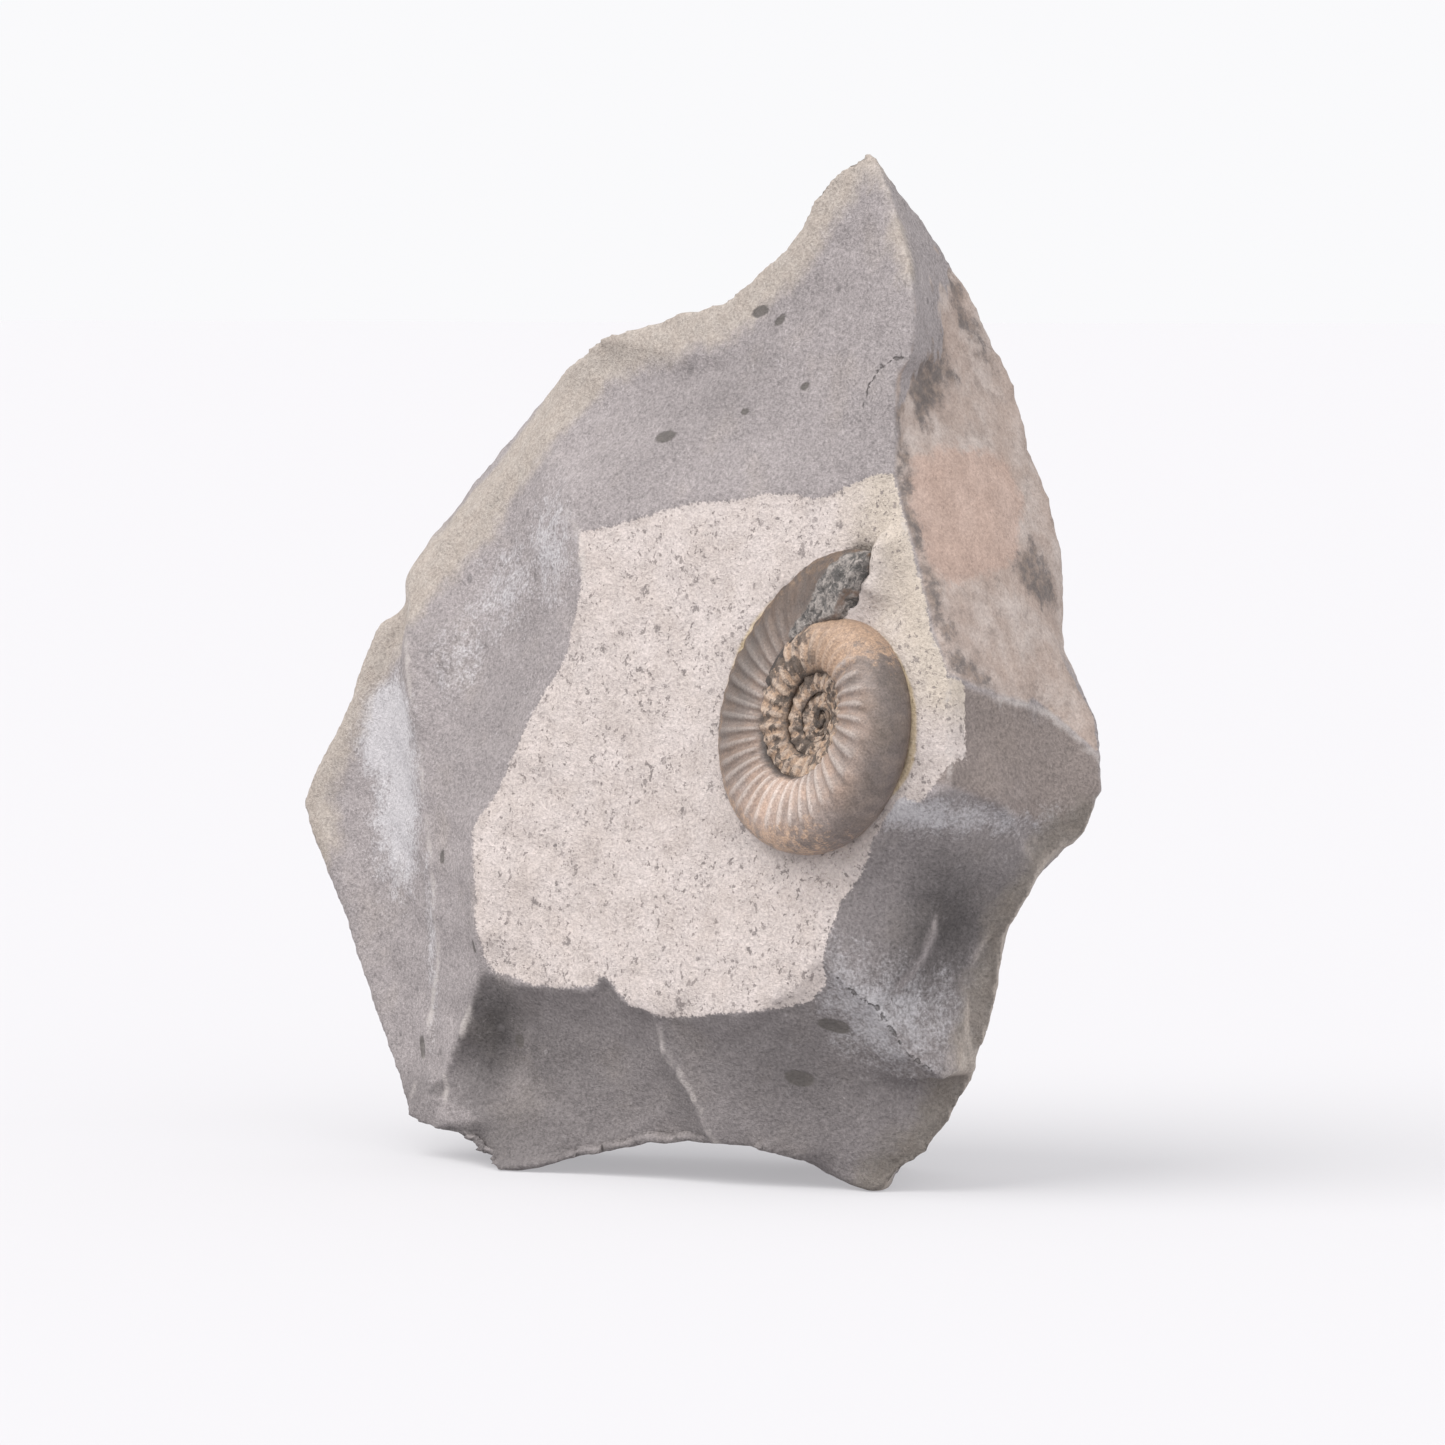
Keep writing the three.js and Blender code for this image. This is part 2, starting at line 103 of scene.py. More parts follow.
# The weathered right side, as (Y, Z): outlines of its dark stains, the dark strip beside the crest, and the
# smooth pink patch.
STAINS = [
    [
        (11.6, 105), (15.4, 103.4), (16.2, 97.7), (18, 93.4), (15, 91.3), (8.4, 87), (7, 90.7), (7.5, 98),
        (9, 103),
    ],
    [(20, 74), (17, 72), (19, 68.5), (24.5, 65), (27, 67), (26, 72), (23, 74.5)],
    [(16, 112), (21, 107), (24, 100), (27, 93), (26, 92), (21, 99), (18, 105)],
]
STRIP = [(7.5, 101), (6, 93), (4.6, 86), (3.3, 79), (2.6, 72), (2.2, 66), (3.4, 61), (7, 59)]
PINK = [
    (5.8, 83.6), (11.4, 85.5), (21.4, 84), (23.2, 78.4), (18, 72.1), (5.5, 69.6), (2.9, 73.2), (3.4, 78.7),
]
# Dark inclusions on the front, as (X, Z, half width, half height, turn).
INCLUSIONS = [
    (-14.5, 86, 2, 0.8, 10), (-3.5, 100.5, 1.6, 0.6, 10), (0.5, 99.5, 1.1, 0.6, 30),
    (16, 19.5, 1.9, 0.9, -10), (10, 13, 1.9, 1.1, 0), (-45, 36, 0.6, 1, 0), (-36.5, 26, 0.7, 0.9, 0),
    (-49.5, 13, 0.8, 1.6, 15), (-31.5, 15, 0.8, 0.8, 0), (-3, 89, 0.7, 0.5, 0), (6, 92, 0.9, 0.5, 20),
]
# The line, downwards, along which the matrix laps over the end of the last whorl, and what lies under it.
LAP = [(20.5, 74.2), (20, 72.1), (19.5, 69.9), (17.2, 68.5), (16.3, 66), (12.5, 65), (9.7, 62.9), (8.5, 61.7)]
LAPPED = [*LAP, (14, 60), (26, 62), (27, 76), (22, 77)]
# The smear of dark mud beside that line, as (X, Z).
MUD = [
    (19.9, 73.8), (16.5, 73.4), (14.2, 72), (12.5, 69.7), (11.9, 67.8), (9.5, 65.1), (8.7, 63.6),
    (9.7, 62.9), (12.5, 65), (16.3, 66), (17.2, 68.5), (19.5, 69.9), (20, 72.1),
]
# The breaks below the pale patch, each an outline as (X, Z), with how deep it is cut and how dark it is
# painted: painted shade, as these breaks face down.
BREAKS = [
    ([
        (-35, 23), (-29.5, 22), (-17, 22), (-15, 24), (-12, 21), (-7.5, 20), (-7.5, 15.5), (-4, 10.5),
        (-1.5, 4.5), (-1, -3), (-50, -5), (-50, 3), (-36, 5.5), (-43, 7.5), (-47, 8), (-43, 10), (-39.5, 15),
    ], 1.5, 0.32),
    ([
        (-7.5, 20), (9, 21), (14.5, 24.5), (17, 27.5), (19.5, 24.5), (22, 22), (24, 16.5), (26.5, 13.5),
        (32, 8), (32, -5), (-1, -3), (-1.5, 4.5), (-4, 10.5), (-7.5, 15.5),
    ], 0.8, 0.33),
    ([
        (17, 27.5), (17.5, 36.5), (23, 40), (27.5, 45.5), (33, 47), (43, 42), (43, 12), (27, 13), (24, 16.5),
        (22, 22), (19.5, 24.5),
    ], 0.6, 0.28),
]
UNDER_SIDE = [
    (-2, 60), (8.5, 57), (17.5, 55), (23.5, 49.5), (27, 47), (27, 40), (19.5, 41), (13, 42.5), (6, 45),
    (-2, 48),
]
# Painted shade in the hollows of the breaks, as soft dark spots: (X, Z, half width, half height, turn,
# strength).
SHADES = [
    (-35, 16, 4, 8, -20, 0.95), (-20, 11, 9, 6, 0, 0.15), (27, 31, 3, 9, -20, 0.95), (-50, 7, 5, 3, 0, 0.8),
    (-33, 4, 8, 4, 0, 0.4), (-38, 54, 7, 12, -30, 0.3), (-10, 84, 16, 5, 10, 0.2), (31, 27, 3, 12, 0, 0.8),
    (-8, 90, 13, 6, 10, 0.35), (34, 30, 4, 9, 0, 0.7), (-6, 9, 3, 7, 20, 0.3), (-27, 12, 3, 5, 10, 0.35),
    (-14, 23.5, 4, 1.2, 0, 0.2), (-29, 13, 1.4, 11, -8, 0.4), (10, 14, 10, 6, 0, 0.25),
]
# Edges between the breaks of the front that stay crisp, as runs of (X, Y, Z).
KEEL = [
    (-59.5, 10, 67), (-55.5, 6, 60), (-52.5, 4, 53), (-51, 3.5, 47.5), (-48, 2, 36.5), (-46.5, 1.5, 30.5),
    (-46, 1.5, 23.5), (-46.5, 1.5, 16.5), (-48.5, 2, 11.5), (-51, 2.5, 7),
]
PATCH_FOOT = [
    (-37.5, -2.5, 39), (-36, -4, 29), (-35, -3.5, 23), (-29.5, -4, 22), (-24, -4.5, 22), (-17, -4.5, 22),
    (-15, -4.5, 24), (-12, -5, 21), (-7.5, -5, 20), (9, -5, 21), (14.5, -4.5, 24.5), (17, -4, 27.5),
    (17.5, -3, 36.5), (23, -2.5, 40), (27.5, -2, 45.5), (33, -0.5, 48),
]
SHELF = [
    (33, -0.5, 48), (35, 6, 45.5), (35.5, 13, 43), (37.5, 19.5, 41.5), (37.5, 22.5, 46.5), (36.5, 23.5, 49),
]
CRISP = [
    KEEL, PATCH_FOOT, SHELF, SHELF_EDGE,
    [(-35.5, -3.5, 21), (-39.5, -2.5, 15), (-43, -1, 10), (-47.5, 0.5, 8)],
    [(-7.5, -5, 20), (-7.5, -3, 15.5), (-4, -2, 10.5), (-1.5, -1, 4.5)],
    [(-51, 2.5, 7), (-48.5, 0, 7), (-43, -1.5, 7), (-36, -3, 5.5)],
    [(-24, 1.5, 74), (-23, 1, 68), (-24, 0, 61), (-30, -1, 51.5), (-34.5, -2, 43.5), (-37.5, -2.5, 39)],
    [(-28, 3, 78), (-24, 1.5, 74)],
    [(17, -4, 27.5), (19.5, -2.5, 24.5), (22, -0.5, 22), (24, 2.5, 16.5), (26.5, 6.5, 13.5)],
    [(35.5, 16.5, 40), (30.5, 2.5, 38.5), (33, -0.5, 48)],
]
# Edges with a pale line along them, as runs of (X, Y, Z): partly wear, and partly a painted highlight where a
# narrow bevel along the edge catches the light.
WORN_AND_HIGHLIT_EDGES = [
    [(-59.5, 10, 67), (-55.5, 6, 60), (-51, 3.5, 47.5), (-48, 2, 36.5), (-46, 1.5, 23.5), (-51, 2.5, 7)],
    [(-28, 3, 78), (-24, 1.5, 74), (-23, 1, 68)],
    [(-7.5, -5, 20), (-7.5, -3, 15.5), (-4, -2, 10.5), (-1.5, -1, 4.5)],
    [(-35, -3.5, 23), (-39.5, -2.5, 15), (-43, -1, 10), (-43, -1.5, 7)],
    [(35, 6, 45.5), (35.5, 13, 43), (37.5, 19.5, 41.5)],
]
# Fine cracks, each a run of (X, Y, Z).
CRACKS = [
    [(18.5, 4.8, 94.5), (16.8, 4.2, 92), (16, 4.6, 89)],
    [(23.3, 4.6, 95.5), (20.5, 4.6, 95.3), (18, 5, 93.8)],
    [(16.8, -4, 27), (19.5, -2.3, 24), (22, -0.4, 22), (24, 2.5, 16.5), (26.5, 6.5, 13.5)],
]

# The coil: an equiangular spiral in its own plane, which leans back and is turned by these degrees.
COIL_CENTRE = Vector((15.4, -1.4, 54.2))
COIL_LEAN = 11.0
COIL_TURN = -13.0
COIL_RADIUS = 19.7  # at the mouth
COIL_GROWTH = 1.66  # how many times larger it gets in a turn
MOUTH_SPOKE = math.radians(88)  # where the mouth is, round the axis
WHORLS = 5.0
HIDDEN_TURNS = 0.035  # how far the tube runs on past the mouth, under the matrix
# A whorl's section, where the whorl's radius is 1.
HALF_HEIGHT = 0.3  # out from the axis
HALF_WIDTH = 0.28  # along the axis
SQUARENESS = 0.86  # an oval at 1, and squarer below

RIDGE_ANGLE = math.radians(35)  # an edge of the model that bends by more than this stays crisp
PLUG_MARGIN = 1.3  # how far the plug of the shell's hollow reaches past the coil
PLUG_DEPTH = 9.5
BEADS = (0.5, 1.2, 2.0, 2.9)  # how far inside the thin left edge each rod runs
# The shell's end stands in front of the pale face, so from the camera it covers a place on the face that is
# this much less far along X and Z. The outlines of the lap and the mud are drawn on the face.
SEEN_SHIFT = (1.1, 0)


def length_setting(name, description, value):
    return FloatProperty(name=name, description=description, default=value, unit="LENGTH")


def angle_setting(name, description, degrees):
    return FloatProperty(name=name, description=description, default=math.radians(degrees), subtype="ANGLE")


def colour_setting(name, description, value):
    return FloatVectorProperty(name=name, description=description, subtype="COLOR", default=value)


class StoneSettings(bpy.types.PropertyGroup):
    voxel: length_setting("Voxel", "Size of the stone's mesh cells", 0.00059)
    relief: length_setting("Relief", "Height of the waves on a broken face", 0.00028)
    grain: length_setting("Grain", "Height of the grain", 0.00009)
    chips: length_setting("Chips", "Depth of the chips along the edges", 0.0004)
    grey: colour_setting("Mudstone", "Colour of a fresh break", (0.256, 0.23, 0.229))
    pale: colour_setting("Pale patch", "Colour of the pale patch", (0.49, 0.435, 0.415))
    fleck: colour_setting("Fleck", "Colour of the dark flecks", (0.12, 0.108, 0.108))
    rind: colour_setting("Rind", "Colour of the weathered rim", (0.33, 0.285, 0.248))
    frost: colour_setting("Frost", "Colour of the frosted patches", (0.46, 0.445, 0.46))
    brown: colour_setting("Skin", "Colour of the weathered side", (0.31, 0.245, 0.212))


class ShellSettings(bpy.types.PropertyGroup):
    ribs: IntProperty(name="Ribs", description="Ribs in a whorl, at the mouth", default=48)
    steps: IntProperty(name="Steps", description="Rows of cells in a whorl, at the mouth", default=400)
    rib_height: FloatProperty(name="Rib height", description="As a share of the whorl's radius", default=0.02)
    shell: colour_setting("Shell", "Colour of the flanks", (0.198, 0.16, 0.142))
    # painted highlight: this colour on the rib crests stands in for the light they catch
    rib_highlight: colour_setting("Rib crest", "Colour of the worn ribs", (0.33, 0.285, 0.26))
    tan: colour_setting("Tan", "Colour of the inner whorls", (0.36, 0.25, 0.175))
    # used for the black patches on the inner whorls, and as painted shade in the seams between the whorls
    dark: colour_setting("Seam", "Colour of the dirt in the seams", (0.045, 0.038, 0.035))


class StageSettings(bpy.types.PropertyGroup):
    lens: FloatProperty(name="Lens", description="Focal length in millimetres", default=200.0)
    distance: length_setting("Distance", "From the camera to the object", 0.92)
    azimuth: angle_setting("Azimuth", "Of the camera, from the front", 40)
    elevation: angle_setting("Elevation", "Of the camera, above the floor", 3)
    sky: FloatProperty(name="Sky", description="Strength of the light from all round", default=0.955)
    key: FloatProperty(name="Key", description="Strength of the soft light from the upper left", default=3.1)
    fill: FloatProperty(name="Fill", description="Strength of the soft light from the right", default=1.6)


def smooth_step(values, low, high):
    t = np.clip((values - low) / (high - low), 0, 1)
    return t * t * (3 - 2 * t)


def fractal(points, size, octaves=4, seed=0):
    """Noise of about -1 to 1 at each point, with features of this size."""
    offset = Vector((17.1, 5.7, 31.3)) * seed
    return np.array([noise.fractal(Vector(p) / size + offset, 1.0, 2.0, octaves) for p in points])


def line_distance(points, line):
    """Distance from each point to a run of straight segments, and the nearest point on it."""
    best = np.full(len(points), np.inf)
    nearest = np.zeros_like(points)
    for start, end in zip(line, line[1:]):
        start, along = np.array(start, float), np.subtract(end, start).astype(float)
        share = np.clip((points - start) @ along / (along @ along), 0, 1)
        foot = start + share[:, None] * along
        far = np.linalg.norm(points - foot, axis=1)
        closer = far < best
        best[closer] = far[closer]
        nearest[closer] = foot[closer]
    return best, nearest


def inside_distance(flat_points, outline):
    """Distance from each (X, Z) point to a closed outline, above 0 inside it."""
    loop = [*outline, outline[0]]
    far, _ = line_distance(flat_points, loop)
    inside = np.zeros(len(flat_points), bool)
    x, z = flat_points.T
    for (x1, z1), (x2, z2) in zip(loop, loop[1:]):
        if z1 != z2:
            crosses = (z1 > z) != (z2 > z)
            inside ^= crosses & (x < (x2 - x1) * (z - z1) / (z2 - z1) + x1)
    return np.where(inside, far, -far)


def oval_distance(flat_points, across, up, half_width, half_height, turn):
    """Distance of each (X, Z) point from the middle of an oval, where 1 is its edge."""
    u, v = (flat_points - (across, up)).T
    cos, sin = math.cos(math.radians(turn)), math.sin(math.radians(turn))
    return np.hypot((u * cos + v * sin) / half_width, (v * cos - u * sin) / half_height)


def blobs(flat_points, places):
    """The strongest of several soft oval spots at each point: its strength in its middle, 0 at its edge."""
    strongest = np.zeros(len(flat_points))
    for *oval, strength in places:
        far = oval_distance(flat_points, *oval)
        strongest = np.maximum(strongest, strength * np.clip(1.5 - far, 0, 1.5) / 1.5)
    return strongest


def store_attribute(mesh, name, values):
    mesh.attributes.new(name, "FLOAT", "POINT").data.foreach_set("value", values.astype(np.float32))


class Surface:
    """A mesh's vertices as one array on the stone's millimetre grid, and ways to move them."""

    def __init__(self, obj):
        self.mesh = obj.data
        self.points = self._read(self.mesh.vertices, "co", 3) / MM - np.array(GRID_SHIFT)
        self.edges = self._read(self.mesh.edges, "vertices", 2, np.int32)
        self.links = np.bincount(self.edges.ravel(), minlength=len(self.points))

    @staticmethod
    def _read(items, name, width, kind=np.float32):
        values = np.zeros(len(items) * width, kind)
        items.foreach_get(name, values)
        return values.reshape(-1, width)

    def store(self):
        places = (self.points + np.array(GRID_SHIFT)) * MM
        self.mesh.vertices.foreach_set("co", places.astype(np.float32).ravel())
        self.mesh.update()

    def normals(self):
        self.store()
        return self._read(self.mesh.vertex_normals, "vector", 3).astype(float)

    def smooth(self, share, rounds):
        """Moves each vertex this share of the way to the middle of its neighbours, some rounds over."""
        a, b = self.edges.T
        for _ in range(rounds):
            total = np.stack([
                np.bincount(a, self.points[b, axis], len(self.points))
                + np.bincount(b, self.points[a, axis], len(self.points))
                for axis in range(3)
            ], 1)
            self.points += share[:, None] * (total / self.links[:, None] - self.points)

    def attribute(self, name, values):
        store_attribute(self.mesh, name, values)


def activate(obj):
    bpy.ops.object.select_all(action="DESELECT")
    obj.select_set(True)
    bpy.context.view_layer.objects.active = obj


def finish_piece(obj, node):
    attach(obj, "root")
    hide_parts(node)


def coil_matrix():
    """Takes the coil's own plane to the row's frame, in metres. Its axis comes out of the pale face."""
    turn = Matrix.Rotation(math.radians(COIL_TURN), 4, "Z")
    lean = Matrix.Rotation(math.radians(90 - COIL_LEAN), 4, "X")
    return Matrix.Translation((COIL_CENTRE + GRID_SHIFT) * MM) @ turn @ lean @ Matrix.Scale(MM, 4)


def coil_turns(spoke):
    """How far back from the mouth a direction round the axis is on the last whorl, in turns."""
    return ((spoke - MOUTH_SPOKE) / (2 * math.pi)) % 1


def coil_radius(turns):
    return COIL_RADIUS * COIL_GROWTH ** -turns


# ---------------------------------------------------------------- shader building

class Socket:
    """One output in a node tree. Python sums on it add Math nodes."""

    def __init__(self, graph, output):
        self.graph = graph
        self.output = output

    def _math(self, operation, *values, clamp=False):
        kind = {"operation": operation, "use_clamp": clamp}
        return self.graph.node("ShaderNodeMath", kind, dict(enumerate(values)))

    def __add__(self, other):
        return self._math("ADD", self, other)

    def __sub__(self, other):
        return self._math("SUBTRACT", self, other)

    def __rsub__(self, other):
        return self._math("SUBTRACT", other, self)

    def __mul__(self, other):
        return self._math("MULTIPLY", self, other)

    def __pow__(self, other):
        return self._math("POWER", self, other)

    __radd__ = __add__
    __rmul__ = __mul__

    def clamped(self):
        return self._math("ADD", self, 0.0, clamp=True)

    def most(self, other):
        return self._math("MAXIMUM", self, other)

    def rise(self, low, high):
        """0 below low, 1 above high, and a smooth step between them."""
        kind = {"interpolation_type": "SMOOTHSTEP"}
        ends = {"From Min": low, "From Max": high, "To Min": 0.0, "To Max": 1.0}
        return self.graph.node("ShaderNodeMapRange", kind, {"Value": self, **ends})

    def fall(self, low, high):
        return 1.0 - self.rise(low, high)


class Graph:
    """The node tree of a new material."""

    def __init__(self, name):
        self.material = bpy.data.materials.new(name)
        self.material.use_nodes = True
        self.tree = self.material.node_tree
        self.tree.nodes.clear()
        self.place = self.scaled(self.node("ShaderNodeTexCoord", {}, {}, "Object"), 1 / MM)

    def node(self, kind, settings, inputs, output=0):
        """Adds a node and gives its output. Inputs are numbers, colours or other sockets."""
        node = self.tree.nodes.new(kind)
        for name, value in settings.items():
            setattr(node, name, value)
        for name, value in inputs.items():
            if isinstance(value, Socket):
                self.tree.links.new(value.output, node.inputs[name])
            else:
                node.inputs[name].default_value = value
        return Socket(self, node.outputs[output])

    def vector(self, operation, inputs):
        return self.node("ShaderNodeVectorMath", {"operation": operation}, inputs)

    def scaled(self, vector, factor):
        factors = factor if isinstance(factor, tuple) else (factor,) * 3
        return self.vector("MULTIPLY", {0: vector, 1: factors})

    def moved(self, vector, other):
        return self.vector("ADD", {0: vector, 1: other})

    def noise(self, size, detail=3.0, roughness=0.55, place=None, stretch=(1, 1, 1), output="Fac"):
        """Noise from 0 to 1 with features of this size in millimetres, about 0.5 on average."""
        where = self.scaled(place or self.place, tuple(1 / (size * s) for s in stretch))
        inputs = {"Vector": where, "Scale": 1.0, "Detail": detail, "Roughness": roughness}
        return self.node("ShaderNodeTexNoise", {}, inputs, output)

    def swing(self, *args, **kwargs):
        """Noise from -0.5 to 0.5, about 0 on average."""
        return self.noise(*args, **kwargs) - 0.5

    def wobble(self, size, amount):
        """The place on the surface, moved about by noise of this size by about this many millimetres."""
        centred = self.vector("SUBTRACT", {0: self.noise(size, output="Color"), 1: (0.5, 0.5, 0.5)})
        return self.moved(self.place, self.scaled(centred, 2 * amount))

    def flecks(self, cell, fill, place):
        """Spots, one in each cell of this size, with radii of up to this share of the cell."""
        where = {"Vector": self.scaled(place, 1 / cell), "Scale": 1.0}
        far = self.node("ShaderNodeTexVoronoi", {}, where, "Distance")
        colour = self.node("ShaderNodeTexVoronoi", {}, where, "Color")
        chance = self.node("ShaderNodeSeparateColor", {}, {0: colour}, 0)
        return (chance ** 3.0 * fill - far).rise(-0.02, 0.08)

    def attribute(self, name):
        return self.node("ShaderNodeAttribute", {"attribute_name": name}, {}, "Fac")

    def mix(self, factor, *colours):
        """The first colour where the factor is 0, and the second one where it is 1."""
        first, second = (c if isinstance(c, Socket) else (*c, 1.0) for c in colours)
        return self.node("ShaderNodeMix", {"data_type": "RGBA"}, {"Factor": factor, 6: first, 7: second}, 2)

    def shade(self, tint, factor):
        """The colour made lighter or darker by a factor."""
        return self.vector("SCALE", {0: tint, "Scale": factor})

    def surface(self, colour, roughness, height):
        """Ends the tree: colour, roughness, and a height in millimetres for the bump."""
        normal = self.node("ShaderNodeBump", {}, {"Strength": 1.0, "Distance": MM, "Height": height})
        inputs = {"Base Color": colour, "Roughness": roughness, "Normal": normal, "Specular IOR Level": 0.3}
        shader = self.node("ShaderNodeBsdfPrincipled", {}, inputs)
        return self.end(shader)

    def end(self, shader):
        out = self.tree.nodes.new("ShaderNodeOutputMaterial")
        self.tree.links.new(shader.output, out.inputs["Surface"])
        return self.material


# ---------------------------------------------------------------- the stone

def seat_plug():
    """A flat body in the shape of the coil's outline, which fills the hollow that the shell sits in."""
    bpy.ops.object.select_all(action="DESELECT")
    bpy.ops.mesh.primitive_circle_add(vertices=120, radius=1, fill_type="NGON")
    plug = bpy.context.active_object
    bpy.ops.object.mode_set(mode="EDIT")
    bpy.ops.mesh.select_all(action="SELECT")
    bpy.ops.mesh.extrude_region_move(TRANSFORM_OT_translate={"value": (0, 0, 1)})
    bpy.ops.mesh.select_all(action="SELECT")
    bpy.ops.mesh.normals_make_consistent(inside=False)
    bpy.ops.object.mode_set(mode="OBJECT")
    to_row = coil_matrix()
    for vertex in plug.data.vertices:
        spoke = math.atan2(vertex.co.y, vertex.co.x)
        radius = coil_radius(coil_turns(spoke)) + PLUG_MARGIN
        place = to_row @ Vector((radius * math.cos(spoke), radius * math.sin(spoke), 0))
        grid = place / MM - GRID_SHIFT
        front = FACE_LEAN * (grid.z - FACE_LEVEL)
        grid.y = front + (0.0 if vertex.co.z < 0.5 else PLUG_DEPTH)
        vertex.co = (grid + GRID_SHIFT) * MM
    return plug


def edge_bead(line, inwards, radius):
    """A thin rod along an edge, this far inside it, so that the stone is never thinner than a cell there."""
    curve = bpy.data.curves.new("bead", "CURVE")
    curve.dimensions = "3D"
    spline = curve.splines.new("POLY")
    spline.points.add(len(line) - 1)
    for point, place in zip(spline.points, line):
        point.co = (*((Vector(place) + Vector((inwards, 0, 0)) + GRID_SHIFT) * MM), 1)
    curve.bevel_depth = radius * MM
    curve.use_fill_caps = True
    bead = bpy.data.objects.new("bead", curve)
    bpy.context.collection.objects.link(bead)
    activate(bead)
    bpy.ops.object.convert(target="MESH")
    return bpy.context.active_object


def copy_of_node(node):
    bpy.ops.object.select_all(action="DESELECT")
    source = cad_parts[node]
    obj = bpy.data.objects.new(node + "_look", source.data.copy())
    bpy.context.collection.objects.link(obj)
    obj.data.materials.clear()
    activate(obj)
    bpy.ops.object.mode_set(mode="EDIT")
    bpy.ops.mesh.select_all(action="SELECT")
    bpy.ops.mesh.remove_doubles(threshold=0.00001)
    bpy.ops.object.mode_set(mode="OBJECT")
    return obj


def sharp_edges(obj, least_angle):
    """Points, on the grid, along the edges of a mesh that bend outwards by more than an angle."""
    mesh = bmesh.new()
    mesh.from_mesh(obj.data)
    ridges = []
    for edge in mesh.edges:
        if len(edge.link_faces) == 2 and edge.calc_face_angle_signed(0) > least_angle:
            ends = [np.array(v.co / MM - GRID_SHIFT) for v in edge.verts]
            steps = max(2, int(np.linalg.norm(ends[1] - ends[0]) / 0.5))
            for share in np.linspace(0, 1, steps):
                ridges.append(ends[0] + share * (ends[1] - ends[0]))
    mesh.free()
    return ridges


def nearest_distance(points, targets):
    tree = KDTree(len(targets))
    for index, target in enumerate(targets):
        tree.insert(target, index)
    tree.balance()
    return np.array([tree.find(p)[2] for p in points])


def near_coil(points):
    """In the coil's plane: distance outside the last whorl, and the turns round the coil from its mouth."""
    back = np.array(coil_matrix().inverted())
    rows = (points + np.array(GRID_SHIFT)) * MM
    flat = rows @ back[:3, :3].T + back[:3, 3]
    turns = coil_turns(np.arctan2(flat[:, 1], flat[:, 0]))
    return np.hypot(flat[:, 0], flat[:, 1]) - coil_radius(turns), turns


